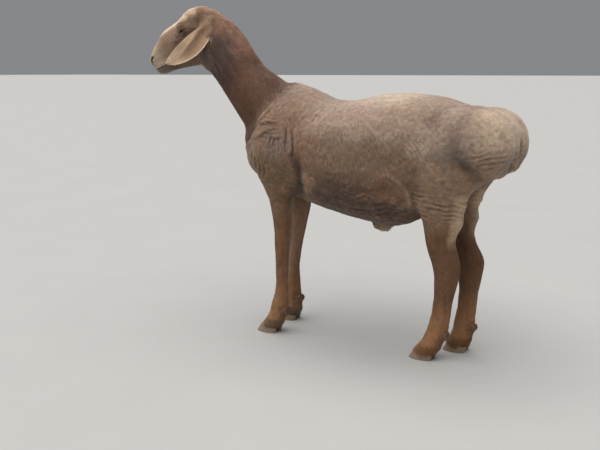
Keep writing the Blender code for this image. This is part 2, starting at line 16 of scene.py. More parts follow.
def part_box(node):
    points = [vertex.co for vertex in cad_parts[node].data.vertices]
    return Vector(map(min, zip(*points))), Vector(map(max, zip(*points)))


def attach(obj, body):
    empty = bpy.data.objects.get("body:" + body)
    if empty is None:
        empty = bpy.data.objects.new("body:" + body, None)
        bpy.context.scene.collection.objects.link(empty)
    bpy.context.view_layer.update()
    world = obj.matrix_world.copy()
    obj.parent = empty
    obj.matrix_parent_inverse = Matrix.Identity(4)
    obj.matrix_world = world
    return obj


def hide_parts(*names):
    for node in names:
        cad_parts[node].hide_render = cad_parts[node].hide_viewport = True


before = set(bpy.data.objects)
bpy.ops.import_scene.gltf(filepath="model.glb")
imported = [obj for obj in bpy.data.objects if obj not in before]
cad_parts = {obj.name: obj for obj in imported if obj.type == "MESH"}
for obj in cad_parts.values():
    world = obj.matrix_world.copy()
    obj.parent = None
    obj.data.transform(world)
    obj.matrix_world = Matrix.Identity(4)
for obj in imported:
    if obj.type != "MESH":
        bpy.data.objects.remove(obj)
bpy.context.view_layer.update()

rng = np.random.default_rng(20)
MM = 0.001
BODY = "root"
SIDES = (("left", -1), ("right", 1))
LEGS = [f"{side}_{end}" for side, _ in SIDES for end in ("fore", "hind")]
print("nodes in the frame:", len(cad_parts))

# %% [markdown]
# ## Small tools
# A body has some hundred thousand points, so everything is worked out on arrays.  `ramp` is the soft
# switch that blends one region into the next.


# %% Numbers and colours
def ramp(low, high, value):
    """0 at `low`, 1 at `high`, and a soft S between them."""
    t = np.clip((value - low) / (high - low), 0.0, 1.0)
    return t * t * (3 - 2 * t)


def hump(middle, reach, value):
    """1 at `middle`, falling softly to 0 at `reach` on both sides."""
    return ramp(1.0, 0.0, np.abs(value - middle) / reach)


def linear(code):
    """The linear colour of an sRGB hex code."""
    parts = np.array([int(code[i : i + 2], 16) for i in (1, 3, 5)]) / 255
    return np.where(parts <= 0.04045, parts / 12.92, ((parts + 0.055) / 1.055) ** 2.4)


def unit(vectors):
    return vectors / np.maximum(np.linalg.norm(vectors, axis=-1, keepdims=True), 1e-12)


def even(points):
    """The points with the right and the left side laid over each other."""
    return points * (1, 0, 1) + np.abs(points[:, 1:2]) * (0, 1, 0)


def far_from(points, centre, radii=1):
    """How far each point is from a place; with radii, 1 is on the rim of that ellipsoid."""
    return np.linalg.norm((points - np.array(centre)) / np.array(radii), axis=1)


def path(*numbers, axes=2):
    """A bent line in metres from numbers in mm, two or three for each of its points."""
    return np.reshape(numbers, (-1, axes)) / 1000


def noise(points, size, seed=0):
    """Smooth noise from -1 to 1, whose blotches are about `size` metres across."""
    grid = points / size + 57.0 + 13.7 * seed
    base = np.floor(grid).astype(np.int64)
    t = grid - base
    t = t * t * (3 - 2 * t)
    total = np.zeros(len(points))
    for corner in range(8):
        step = np.array([corner & 1, corner >> 1 & 1, corner >> 2])
        key = (base + step) @ np.array([73856093, 19349663, 83492791]) + seed * 7919
        key = (key ^ (key >> 13)) * 1274126177 & 0x7FFFFFFF
        key = (key ^ (key >> 15)) * 668265263 & 0x7FFFFFFF
        total += np.prod(np.where(step == 1, t, 1 - t), axis=1) * (key / 0x3FFFFFFF - 1)
    return total


# %% Meshes
def mesh_object(name, points, faces):
    """A mesh from an array of points and an array of faces that all have as many corners."""
    mesh = bpy.data.meshes.new(name)
    count, corners = faces.shape
    mesh.vertices.add(len(points))
    mesh.vertices.foreach_set("co", np.ascontiguousarray(points, np.float32).ravel())
    mesh.loops.add(count * corners)
    mesh.loops.foreach_set("vertex_index", np.ascontiguousarray(faces, np.int32).ravel())
    mesh.polygons.add(count)
    mesh.polygons.foreach_set("loop_start", np.arange(0, count * corners, corners, dtype=np.int32))
    mesh.update(calc_edges=True)
    obj = bpy.data.objects.new(name, mesh)
    bpy.context.scene.collection.objects.link(obj)
    return obj


def rows_of(collection, key, width, kind=np.float32):
    flat = np.empty(len(collection) * width, kind)
    collection.foreach_get(key, flat)
    return flat.reshape(-1, width)


def points_of(obj):
    return rows_of(obj.data.vertices, "co", 3).astype(float)


def normals_of(obj):
    return rows_of(obj.data.vertices, "normal", 3).astype(float)


def triangles_of(obj):
    obj.data.calc_loop_triangles()
    return rows_of(obj.data.loop_triangles, "vertices", 3, np.int32)


def set_points(obj, points):
    obj.data.vertices.foreach_set("co", points.astype(np.float32).ravel())
    obj.data.update()


def modified(obj, kind, **settings):
    """Puts a modifier on, and keeps its result as the mesh."""
    modifier = obj.modifiers.new(kind.title(), kind)
    for key, value in settings.items():
        setattr(modifier, key, value)
    bpy.context.view_layer.update()
    shape = bpy.data.meshes.new_from_object(obj.evaluated_get(bpy.context.evaluated_depsgraph_get()))
    obj.modifiers.clear()
    old, obj.data = obj.data, shape
    bpy.data.meshes.remove(old)
    return obj


def node_shape(name):
    """Points and triangles of a CAD node, with the points that lie together made one."""
    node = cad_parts[name]
    points = points_of(node)
    _, first, index = np.unique(np.round(points / (0.01 * MM)).astype(np.int64), axis=0,
                                return_index=True, return_inverse=True)
    return points[first], index.reshape(-1)[triangles_of(node)]


# %% [markdown]
# ## Where things are
# The head has its own axes: along the nose, out to the sheep's right, and up.  The other landmarks
# are given in the sheep's own frame, read off the nodes.

# %% Landmarks
HEAD_ORIGIN = np.array([-0.4197, -0.0021, 1.0200])
HEAD_TURN, HEAD_DROP = math.radians(12), math.radians(28)
ALONG = np.array([-math.cos(HEAD_TURN) * math.cos(HEAD_DROP),
                  -math.sin(HEAD_TURN) * math.cos(HEAD_DROP), -math.sin(HEAD_DROP)])
RIGHT = np.array([-math.sin(HEAD_TURN), math.cos(HEAD_TURN), 0.0])
UP = np.cross(RIGHT, ALONG)
UP = UP if UP[2] > 0 else -UP
HEAD_AXES = np.stack([ALONG, RIGHT, UP])
EYE = np.array([0.085, 0.0475, 0.049])  # along, out, up
EYE_RADIUS = 14.5 * MM


def to_head(points):
    return (points - HEAD_ORIGIN) @ HEAD_AXES.T


def from_head(local):
    return np.asarray(local) @ HEAD_AXES + HEAD_ORIGIN


# %% [markdown]
# ## The skin
# A real skin is one sheet, so the nodes of flesh are fused on a grid of small cubes, which closes
# the thin cuts between them.

# %% Fuse the flesh
FLESH = ["trunk", "neck", "head", "fat_tail",
         *(f"{leg}_{part}_leg" for leg in LEGS for part in ("upper", "lower"))]
FILLERS = ["left_eye", "right_eye",
           *(f"{leg}_{place}_dewclaw" for leg in LEGS for place in ("inner", "outer"))]
SWELL = 0.35 * MM  # closes the cuts between the nodes
FIRST_GRID = 4.6 * MM


def ear_root_filler(side):
    """A small ball that fills the pocket of the ear's root."""
    bm = bmesh.new()
    bmesh.ops.create_uvsphere(bm, u_segments=20, v_segments=12, radius=1.0)
    bmesh.ops.triangulate(bm, faces=bm.faces)
    ball = np.array([vert.co for vert in bm.verts])
    faces = np.array([[vert.index for vert in face.verts] for face in bm.faces])
    bm.free()
    local = ball * (0.027, 0.018, 0.024) + np.array([0.004, 0.046, 0.022])
    return from_head(local * (1, side, 1)), faces


shapes = [node_shape(name) for name in FLESH + FILLERS] + [ear_root_filler(side) for _, side in SIDES]
starts = np.cumsum([0] + [len(points) for points, _ in shapes])
flesh_points = np.vstack([points for points, _ in shapes])
flesh_faces = np.vstack([faces + start for (_, faces), start in zip(shapes, starts)])
skin = mesh_object("skin", flesh_points, flesh_faces)
set_points(skin, flesh_points + normals_of(skin) * SWELL)
modified(skin, "REMESH", mode="VOXEL", voxel_size=FIRST_GRID)
print("skin:", len(skin.data.vertices), "points")

# %% [markdown]
# ## Smoothing
# The solids have flat facets a few centimetres wide.  Plain smoothing would shrink the legs, so each
# pass that shrinks is followed by one that swells a little more.  The face is smoothed least.

# %% Smooth without shrinking
BODY_PASSES, FACE_PASSES, MUZZLE_PASSES, LEG_PASSES = 60, 30, 14, 34
SHRINK, GROW = 0.50, -0.53


class Neighbours:
    """Means over the neighbours of every point of a mesh."""

    def __init__(self, obj):
        ends = rows_of(obj.data.edges, "vertices", 2, np.int32)
        self.here = np.concatenate([ends[:, 0], ends[:, 1]])
        self.there = np.concatenate([ends[:, 1], ends[:, 0]])
        self.size = len(obj.data.vertices)
        self.count = np.maximum(np.bincount(self.here, minlength=self.size), 1)

    def mean(self, values):
        sums = [np.bincount(self.here, weights=column[self.there], minlength=self.size)
                for column in values.reshape(self.size, -1).T]
        return (np.stack(sums, axis=1) / self.count[:, None]).reshape(values.shape)


def smoothed(points, near, passes):
    """`passes` is how many passes each point takes part in."""
    for step in range(int(np.max(passes))):
        live = ramp(step - 1, step + 1, passes * np.ones(len(points)))[:, None]
        points = points + live * SHRINK * (near.mean(points) - points)
        points = points + live * GROW * (near.mean(points) - points)
    return points


def passes_for(points):
    """How many passes each point of the body takes part in."""
    along = to_head(points)[:, 0]
    on_head = ramp(-0.06, 0.0, along) * ramp(0.84, 0.88, points[:, 2])
    passes = BODY_PASSES + (FACE_PASSES - BODY_PASSES) * on_head
    passes += (MUZZLE_PASSES - FACE_PASSES) * on_head * ramp(0.17, 0.22, along)
    return passes + (LEG_PASSES - BODY_PASSES) * ramp(0.42, 0.34, points[:, 2])


skin_points = points_of(skin)
set_points(skin, smoothed(skin_points, Neighbours(skin), passes_for(skin_points)))
print("smoothed on the first grid")

# %% [markdown]
# ## A finer grid where it counts
# The first grid is too coarse for the lids and the nostrils.  Space is magnified round the head, the
# eyes and the muzzle, the skin is drawn again on a second grid, and space is shrunk back.

# %% Second grid
SECOND_GRID, SECOND_PASSES = 4.7 * MM, 12
MAGNIFIERS = (  # centre in the head's axes, radius, scale
    ((0.11, 0.0, 0.03), 0.17, 1.7),
    ((0.085, 0.050, 0.049), 0.028, 2.0),
    ((0.085, -0.050, 0.049), 0.028, 2.0),
    ((0.250, 0.0, 0.015), 0.050, 1.6),
)


def magnify(points, lenses, back=False):
    """Stretches space round each lens centre, or undoes it."""
    for centre, radius, scale in (reversed(lenses) if back else lenses):
        arm = points - centre
        far = np.linalg.norm(arm, axis=1, keepdims=True)
        rim = radius * scale
        if back:
            new = np.where(far < rim, far / scale, far - rim + radius)
        else:
            new = np.where(far < radius, far * scale, far - radius + rim)
        points = centre + arm * new / np.maximum(far, 1e-9)
    return points


lenses = []
for local, radius, scale in MAGNIFIERS:
    centre = from_head(np.array([local]))
    nearby = centre + np.array([[1e-4, 0, 0]])
    moved, moved_nearby = magnify(centre, lenses), magnify(nearby, lenses)
    grown = np.linalg.norm(moved_nearby - moved) / 1e-4  # by the lenses before this one
    lenses.append((moved, radius * grown, scale))
set_points(skin, magnify(points_of(skin), lenses))
modified(skin, "REMESH", mode="VOXEL", voxel_size=SECOND_GRID)
near_skin = Neighbours(skin)
skin_points = smoothed(magnify(points_of(skin), lenses, back=True), near_skin, SECOND_PASSES)
set_points(skin, skin_points)
print("skin:", len(skin_points), "points, highest at", round(float(skin_points[:, 2].max()), 4))

# %% [markdown]
# ## Regions of the body
# The edge of the shorn wool crosses the base of the neck.  In front of it the hair was left long.
# On the legs and the face the hair is short by nature.

# %% Regions
SHEAR_EDGE = path(  # height, and the x at which the long hair of the neck begins
    600, -330, 640, -265, 662, -230, 689, -206, 736, -184, 769, -161, 800, -136, 860, -112)
FORE_HAIR_TOP, HIND_HAIR_TOP = 0.425, 0.430  # height at which wool gives way to the hair of the leg
LEG_SPLIT = 0.14  # x between the forelegs and the hind legs


class Regions:
    """How much each point belongs to each region, from 0 to 1."""

    def __init__(self, points):
        x, _, z = points.T
        self.local = to_head(points)
        along, _, up = self.local.T
        ragged = 0.012 * noise(points, 0.020, 70)
        jaw_edge = 0.052 * ramp(0.010, -0.045, up) - 0.020
        self.head = ramp(-0.010, 0.016, along - jaw_edge + 0.6 * ragged) * ramp(-0.12, -0.09, up)
        wavy = 0.010 * noise(points, 0.030, 71) + 0.004 * noise(points, 0.010, 72)
        self.past_shear = x - np.interp(z, *SHEAR_EDGE.T) + wavy
        soft = 0.016 + 0.030 * ramp(0.72, 0.80, z)
        self.neck = ramp(soft, 0.002 - soft, self.past_shear) * (1 - self.head)
        top = np.where(x < LEG_SPLIT, FORE_HAIR_TOP, HIND_HAIR_TOP)
        on_limb = np.where(x < LEG_SPLIT, ramp(0.07, 0.05, x), ramp(0.27, 0.33, x))
        belly = ramp(0.10, 0.17, x) * ramp(0.36, 0.30, x)
        self.leg = ramp(top + 0.055, top - 0.050, z + 2.0 * wavy) * on_limb * (1 - 0.9 * belly)
        self.muzzle = self.head * ramp(0.19, 0.235, along)
        self.foot = ramp(0.075, 0.04, z)
        self.wool = np.clip(1 - self.head - self.neck - self.leg, 0, 1)


def coat_depth(places):
    """How far the tips of the coat stand over the skin, in metres."""
    depth = 4.5 * MM * places.wool + 9.0 * MM * places.neck + 3.2 * MM * places.head
    depth += 3.0 * MM * places.leg
    depth += (1.4 * MM - depth) * places.muzzle
    depth += (1.5 * MM - depth) * places.foot
    return depth


inset = near_skin.mean(coat_depth(Regions(skin_points)))
skin_points = skin_points - normals_of(skin) * inset[:, None]
set_points(skin, skin_points)
print("coat depth in mm:", np.round([inset.min() / MM, inset.max() / MM], 1))

# %% [markdown]
# ## Folds, creases and clip marks
# The skin of a shorn sheep shows loose folds before the shoulder and at the flank, and low ridges
# where the clipper passed.  Each is a height that is added along the normal.  Those of the trunk are
# drawn flat from the side and so appear on both flanks.


# %% Tools for shaping the skin, with heights and widths in mm
def to_line(flat, line):
    """How far each point is from a bent line, and how far along it the nearest place is."""
    best, share = np.full(len(flat), np.inf), np.zeros(len(flat))
    line = np.array(line, float)
    steps = np.linalg.norm(np.diff(line, axis=0), axis=1)
    done = 0.0
    for start, end, step in zip(line, line[1:], steps):
        t = np.clip(((flat - start) @ (end - start)) / step**2, 0, 1)
        far = np.linalg.norm(flat - start - t[:, None] * (end - start), axis=1)
        share = np.where(far < best, (done + t * step) / steps.sum(), share)
        best = np.minimum(best, far)
        done += step
    return best, share


def bead(flat, line, height, width, fade=0.15):
    """A ridge, or a groove where the height is negative, that fades at the ends of the line."""
    far, share = to_line(flat, line)
    ends = ramp(0, fade, share) * ramp(1, 1 - fade, share)
    return height * MM * np.exp(-((far / (width * MM)) ** 2)) * ends


def mound(points, *form):
    """A soft swelling, or a hollow: three numbers for its centre, three for its radii, and its height."""
    centre, radii = path(*form[:6], axes=3)
    return form[6] * MM * ramp(1.0, 0.0, far_from(points, centre, radii))


def clip_marks(points, x, z, long, high, across, rising, spacing, height, seed):
    """Low wavy ridges round one place, `spacing` apart in the direction (across, rising)."""
    flat = points[:, [0, 2]]
    way = unit(np.array([across, rising], float))
    waver = noise(points, 0.055, seed) * 0.8 + noise(points, 0.020, seed + 1) * 0.25
    phase = 2 * math.pi * ((flat @ way) / (spacing * MM) + waver)
    broken = ramp(-0.5, 0.7, noise(points, 0.030, seed + 2)) * 1.3
    fades = ramp(1.0, 0.35, far_from(flat, *path(x, z, long, high)))
    return height * MM * fades * (np.sin(phase) + 0.3 * np.sin(2 * phase)) * broken


# %% Folds of the trunk
SHOULDER_CREASES = (path(-38, 712, -27, 673, -23, 642, -28, 602), path(-59, 708, -53, 678, -56, 644))
ELBOW_HOLLOW = path(-20, 622, -6, 580, -4, 545, -18, 510, -40, 487)
FLANK_FOLD = path(285, 584, 317, 582, 350, 563, 366, 540, 373, 508, 366, 460)
BELLY_FOLDS = (path(100, 500, 200, 492, 300, 487), path(160, 468, 260, 458, 340, 466))
SHOULDER_FOLDS = (  # loose skin before the shoulder: a ridge with a groove below each
    path(-122, 790, -136, 768, -160, 748), path(-140, 765, -160, 738, -186, 722),
    path(-190, 712, -165, 724, -127, 730, -78, 727), path(-195, 672, -160, 684, -137, 699, -100, 708),
    path(-112, 684, -90, 681, -70, 686), path(4, 765, -10, 742, -10, 716), path(48, 772, 34, 750, 30, 730))
CHEST_FOLDS = (  # short upright ridges, with a groove behind each
    path(-119, 684, -122, 652), path(-106, 676, -110, 648), path(-205, 640, -206, 610, -200, 585),
    path(-184, 625, -186, 590, -180, 560), path(-165, 592, -160, 555), path(-147, 585, -144, 548))
CLIP_LINE = path(205, 752, 245, 722, 285, 690, 322, 655)
HAMSTRING = path(528, 512, 524, 470, 511, 425, 498, 376)
LOBE_CREASE = path(508, 645, 538, 625, 566, 605, 592, 574)
TRUNK_FORMS = (  # centre on either side, radii, height, all in mm
    (302, 160, 535, 50, 60, 42, -7.5),  # hollow of the flank
    (10, 140, 545, 34, 50, 30, 5),  # elbow
    (-95, 140, 600, 60, 60, 90, 5),  # upper arm
    (-80, 120, 735, 50, 60, 80, 3.5),  # shoulder blade
    (445, 160, 590, 80, 60, 90, 3),  # thigh
    (-215, 80, 585, 52, 60, 62, 10),  # point of the shoulder
)
CLIP_MARKS = (  # centre, radii, direction across the ridges, spacing, height, seed; lengths in mm
    (455, 505, 105, 90, 0.12, 1, 16, 1.35, 3), (615, 640, 75, 60, -0.25, 1, 13, 0.85, 6),
    (-130, 715, 90, 90, 0.15, 1, 13, 0.5, 9), (-60, 670, 60, 90, 1, 0.05, 13, 0.6, 12),
    (-175, 590, 60, 80, 1, 0.1, 12, 0.9, 15), (220, 480, 200, 60, 0.05, 1, 18, 1.1, 18),
    (150, 640, 300, 150, 1, 0.35, 11, 0.34, 21), (330, 700, 200, 120, 0.75, 0.65, 11, 0.4, 24),
)


def trunk_folds(points, places):
    z, out = points[:, 2], np.abs(points[:, 1])
    flank, chest = ramp(0.035, 0.075, out), ramp(0.025, 0.060, out)
    beads = [(flank, ELBOW_HOLLOW, (0, 0), -10.0, 20, 0.35)]
    for line in SHOULDER_CREASES:
        beads += [(flank, line, (0, 0), -2.8, 5.0, 0.4), (flank, line, (-0.012, 0), 1.5, 6, 0.35)]
    beads += [(flank, FLANK_FOLD, (0, 0), 3.2, 9, 0.40), (flank, LOBE_CREASE, (0, 0), -3.2, 15, 0.35),
              (flank, CLIP_LINE, (0, 0), 1.0, 5, 0.4), (1, HAMSTRING, (0, 0), 3.5, 9)]
    beads += [(flank, line, (0, 0), -1.8, 6) for line in BELLY_FOLDS]
    for line in SHOULDER_FOLDS:
        beads += [(flank, line, (0, 0), 2.0, 6.5, 0.35), (flank, line, (0, -0.010), -1.8, 4.5, 0.35)]
    for line in CHEST_FOLDS:
        beads += [(chest, line, (0, 0), 2.6, 4.5, 0.35), (chest, line, (0.008, 0), -2.4, 4.0, 0.35)]
    rise = sum(bead(points[:, [0, 2]], np.array(line) + shift, *form) * where
               for where, line, shift, *form in beads)
    for form in TRUNK_FORMS:
        rise += mound(even(points), *form)
    rise += sum(clip_marks(points, *marks) for marks in CLIP_MARKS) * ramp(0.2, 0.8, places.wool)
    step = ramp(0.030, 0.006, places.past_shear) * ramp(-0.008, 0.004, places.past_shear)
    rise -= 1.6 * MM * step * ramp(0.62, 0.66, z) * ramp(0.80, 0.74, z)
    withers = ramp(1.0, 0.0, far_from(points, (-0.075, 0.0, 0.830), (0.110, 0.10, 0.060)))
    rise += noise(points, 0.060, 30) * 1.2 * MM * (1 - places.head)
    rise += noise(points, 0.024, 33) * 0.5 * MM * places.wool
    rise += noise(points, 0.015, 34) * 1.3 * MM * withers
    return rise + noise(points, 0.010, 31) * 0.75 * MM * places.wool


def forearm_muscle(points, normals):
    """The inner side of the upper foreleg is fuller than the solid."""
    x, y, z = points.T
    inner = np.clip(-np.sign(y) * normals[:, 1], 0, 1)
    return 8.5 * MM * inner * ramp(0.06, 0.02, x) * ramp(0.26, 0.36, z) * ramp(0.54, 0.49, z)


RUMP_CENTRE = np.array([0.50, 0.0, 0.66])
CLEFT_SIDE = 0.028  # the fat hangs a little to the left, so the cleft lies right of the middle


def round_rump(points):
    """Fills the valley between the lobes from above, and leaves a cleft only low at the back."""
    x, y, z = points.T
    outward = unit((points - RUMP_CENTRE) * (1, 0, 1))
    back = ramp(0.50, 0.57, x) * ramp(0.585, 0.625, z)
    valley = (11 * MM + 9 * MM * ramp(0.775, 0.70, z)) * ramp(0.058, 0.016, np.abs(y))
    valley += 9 * MM * hump(-0.012, 0.034, y) * hump(0.650, 0.055, z)
    cleft = np.exp(-(((y - CLEFT_SIDE * ramp(0.80, 0.70, z)) / (12 * MM)) ** 2))
    cleft *= 4 * MM * ramp(0.79, 0.74, z) + 14 * MM * ramp(0.710, 0.655, z)
    return points + outward * (back * (valley - cleft))[:, None]


RUMP_PASSES = 6
at_rump = ramp(0.48, 0.56, skin_points[:, 0]) * ramp(0.56, 0.60, skin_points[:, 2])
skin_points = smoothed(round_rump(skin_points), near_skin, RUMP_PASSES * at_rump)
set_points(skin, skin_points)
rise = trunk_folds(skin_points, Regions(skin_points)) + forearm_muscle(skin_points, normals_of(skin))
skin_points = skin_points + normals_of(skin) * rise[:, None]
set_points(skin, skin_points)
print("folds in mm:", np.round([rise.min() / MM, rise.max() / MM], 1))

# %% [markdown]
# ## The face
# The lids are two folds of skin that ride on the ball of the eye.  Inside their opening the skin
# dips behind the ball.  The nostrils are comma-shaped slits, and the mouth is one fine groove that
# ends in a corner.

# %% Lids, nostrils and mouth
LID_TILT = math.radians(6)
LID_HALF_LENGTH, LID_ABOVE, LID_BELOW = 13.0 * MM, 6.6 * MM, 4.8 * MM
LID_THICKNESS = 1.3 * MM
NOSTRIL = path(258.5, 23, 12, 256, 27.5, 20, 251.5, 30, 29, 244, 32.5, 34, 237, 34, 33, axes=3)
MOUTH = path(272, 0, 0, 266, 12, -4, 255.6, 20, -9, 236.7, 29.5, -11.8, 222.8, 31.2, -14,
             211.9, 30.8, -16.8, 203, 30.5, -18, axes=3)
LIP_SPLIT = path(262, 0, 34, 270, 0, 16, 273, 0, 0, axes=3)
FACE_FORMS = (  # centre in the head's axes, radii, height, all in mm
    (50, 46, -36, 52, 30, 36, 3),  # chewing muscle
    (128, 42, -22, 42, 30, 26, -3),  # hollow of the cheek
    (135, 46, 12, 50, 30, 14, 2.2),  # ridge below the eye
    (112, 50, 44, 14, 20, 10, -2.4),  # pit before the eye
    (85, 56, 50, 34, 30, 28, 4),  # rim of the orbit
    (78, 52, 77, 34, 20, 14, 3),  # brow
    (140, 34, 62, 40, 24, 20, -1.8),  # flank of the nose
    (245, 34, 40, 22, 20, 10, 2),  # wing over the nostril
    (232, 32, 4, 26, 20, 10, 1.8),  # upper lip
    (240, 18, -24, 22, 22, 12, 1.6),  # chin
)


def eye_opening(arm):
    """How far out from the middle of the opening a place is, 1 on the edge of the lids, and its height."""
    c, s = math.cos(LID_TILT), math.sin(LID_TILT)
    across = (c * arm[:, 0] - s * arm[:, 2]) / LID_HALF_LENGTH
    height = s * arm[:, 0] + c * arm[:, 2]
    height = height / np.where(height > 0, LID_ABOVE, LID_BELOW)
    return across**2 + np.abs(height), height


def lids(points, side):
    """Moves the skin near one eye so that two lids lie on the ball."""
    arm = to_head(points) * (1, side, 1) - EYE
    far = np.linalg.norm(arm, axis=1)
    live = (far < 0.045) & (arm[:, 1] > -2 * MM)
    arm, far = arm[live], far[live]
    opening, height = eye_opening(arm)
    fold = hump(1.95, 0.42, opening) * ramp(0.0, 0.5, height)
    lid = EYE_RADIUS + LID_THICKNESS + 0.6 * MM * hump(1.15, 0.35, opening) - 0.9 * MM * fold
    fades = ramp(5.0, 1.8, opening)
    raised = np.maximum(far, lid * fades + far * (1 - fades)) - 0.7 * MM * fold
    within = ramp(1.02, 0.86, opening)
    reach = raised * (1 - within) + (EYE_RADIUS - 3 * MM) * within
    moved = points.copy()
    moved[live] = from_head((arm / far[:, None] * reach[:, None] + EYE) * (1, side, 1))
    return moved


def face_forms(points):
    local = to_head(points)
    rise = np.zeros(len(points))
    for _, side in SIDES:
        here = local * (1, side, 1)
        for form in FACE_FORMS:
            rise += mound(here, *form)
        rise += bead(here, NOSTRIL, -8.0, 3.6, 0.22)
        rise += bead(here + (0, 0, -0.0075), NOSTRIL, 1.6, 4.0, 0.2)
        rise += bead(here, MOUTH, -3.4, 2.2, 0.05)
    rise += bead(local, LIP_SPLIT, -1.0, 2.6, 0.3)
    return rise * ramp(-0.02, 0.01, local[:, 0]) * ramp(0.83, 0.86, points[:, 2])


LID_PASSES = 9
skin_points = skin_points + normals_of(skin) * face_forms(skin_points)[:, None]
for _, side in SIDES:
    skin_points = lids(skin_points, side)
    from_ball = far_from(to_head(skin_points) * (1, side, 1), EYE)
    skin_points = smoothed(skin_points, near_skin, LID_PASSES * hump(0.0235, 0.0055, from_ball))
set_points(skin, skin_points)
print("lids, nostrils and mouth done")

# %% [markdown]
# ## Ears
# Each ear is a long leaf, hollow towards the outside, that hangs beside the cheek.  It is drawn as
# rows of points from root to tip, front and back, and joined to the skin with a Boolean, so that
# hair and colour run on without a seam.

# %% Ear leaves
EAR_ROOT, EAR_TIP = np.array([0.004, 0.047, 0.018]), np.array([0.178, 0.100, -0.025])
EAR_LENGTH = np.linalg.norm(EAR_TIP - EAR_ROOT)
EAR_ABOVE, EAR_BELOW = 18.5 * MM, 53.5 * MM  # half widths above and below the middle line
EAR_CUP, EAR_BOW, EAR_THICKNESS = 12 * MM, 20 * MM, 6.0 * MM
EAR_FACES = np.array([-0.18, 0.96, -0.10])
EAR_COAT = 0.9 * MM  # how far the hair stands out from the skin of the ear
EAR_RINGS, EAR_SPANS = 64, 34
EAR_WAY = unit(EAR_TIP - EAR_ROOT)
EAR_OUT = unit(EAR_FACES - EAR_WAY * (EAR_FACES @ EAR_WAY))
EAR_DOWN = np.cross(EAR_OUT, EAR_WAY)


def ear_widths(t):
    t = np.clip(t, 0, 1)
    return (EAR_ABOVE * np.sin(math.pi * (0.20 + 0.80 * t)) ** 0.55,
            EAR_BELOW * np.sin(math.pi * (0.12 + 0.88 * t)) ** 0.60)


def ear_fold(t):
    """Where the long fold of the hollow side runs, from the upper rim at the root to below the middle."""
    return -0.40 + 1.2 * (t - 0.34)


def ear_middle(t, v):
    """The middle sheet of the ear: t from root to tip, v from the upper rim to the lower one."""
    above, below = ear_widths(t)
    half = (above + below) / 2 - EAR_COAT
    cup = EAR_CUP * (1.25 - 0.8 * t) * np.minimum(1, half / 0.02)
    waves = 1.6 * MM * np.sin(9 * t + 2) * v**2 * ramp(0.05, 0.4, t)
    fold = ear_fold(t)
    inside = ramp(fold - 0.38, fold + 0.38, v)
    curve = inside * v * v + (1 - inside) * (fold * fold + 0.25 * (v - fold))
    lift = EAR_BOW * np.sin(math.pi * np.clip(t, 0, 1) ** 0.8) + cup * (curve - 0.5) + waves
    sway = EAR_DOWN * ((below - above) / 2 + half * v)[..., None]
    return EAR_ROOT + EAR_WAY * (EAR_LENGTH * t)[..., None] + sway + EAR_OUT * lift[..., None]


def ear_leaf(side):
    """A closed leaf: two sheets of points whose rims meet, with a cap at the root and at the tip."""
    t = 1 - (1 - np.linspace(0, 0.992, EAR_RINGS)) ** 1.25
    t, v = np.meshgrid(t, np.sin(np.linspace(-1, 1, EAR_SPANS) * math.pi / 2), indexing="ij")
    thick = EAR_THICKNESS * (1.25 - 0.65 * t) * (0.30 + 0.70 * (1 - v * v)) - EAR_COAT * (1 - 0.5 * v * v)
    veins = 0.12 * MM * np.sin(16 * v + 3 * t) * (1 - v * v) * ramp(0.0, 0.2, t)
    past = v - ear_fold(t)
    crease = 0.3 * MM * (hump(-0.12, 0.26, past) - hump(0.14, 0.30, past))
    veins += crease * ramp(0.06, 0.25, t) * ramp(0.85, 0.50, t)
    front = ear_middle(t, v) + EAR_OUT * (thick / 2 + veins)[..., None]
    back = ear_middle(t, v) - EAR_OUT * (thick / 2)[..., None]
    loop = np.concatenate([front, back[:, ::-1]], axis=1)
    index = np.arange(EAR_RINGS * EAR_SPANS * 2).reshape(EAR_RINGS, -1)
    here, there = index[:-1], index[1:]
    faces = [np.stack([here, there, np.roll(there, -1, 1), np.roll(here, -1, 1)], axis=-1).reshape(-1, 4)]
    for row, turned in ((index[0], False), (index[-1], True)):
        face, behind = row[:EAR_SPANS], row[EAR_SPANS:][::-1]
        cap = np.stack([face[:-1], face[1:], behind[1:], behind[:-1]], axis=-1)
        faces.append(cap[:, ::-1] if turned else cap)
    points, faces = from_head(loop.reshape(-1, 3) * (1, side, 1)), np.vstack(faces)
    a, b, c, d = (points[faces[:, i]] for i in range(4))
    volume = (np.cross(b - a, c - a) * a).sum() + (np.cross(c - a, d - a) * a).sum()
    return points, faces if volume > 0 else faces[:, ::-1]


for name, side in SIDES:
    leaf = mesh_object(f"{name}_leaf", *ear_leaf(side))
    modified(skin, "BOOLEAN", operation="UNION", solver="MANIFOLD", object=leaf)
    bpy.data.objects.remove(leaf)
print("skin with ears:", len(skin.data.vertices), "points")


# %% Ears as regions
def ear_places(points):
    """For each point: how much it belongs to an ear, t from root to tip, v across, and which face."""
    arm = even(to_head(points)) - EAR_ROOT
    t = arm @ EAR_WAY / EAR_LENGTH
    above, below = ear_widths(t)
    v = (arm @ EAR_DOWN - (below - above) / 2) / np.maximum((above + below) / 2, 3 * MM)
    off = (arm - (ear_middle(np.clip(t, 0, 1), np.clip(v, -1.1, 1.1)) - EAR_ROOT)) @ EAR_OUT
    near = ramp(9 * MM, 5.5 * MM, np.abs(off)) * ramp(1.4, 1.2, np.abs(v))
    near *= ramp(0.02, 0.10, t) * ramp(1.10, 1.04, t)
    return near, np.clip(t, 0, 1), np.clip(v, -1, 1), off


ROOT_PASSES = 36
near_skin = Neighbours(skin)
skin_points = points_of(skin)
root_far = far_from(even(to_head(skin_points)), EAR_ROOT, (0.034, 0.030, 0.040))
skin_points = smoothed(skin_points, near_skin, ROOT_PASSES * ramp(1.3, 0.8, root_far))
set_points(skin, skin_points)
print("ear leaves blended in at the root")

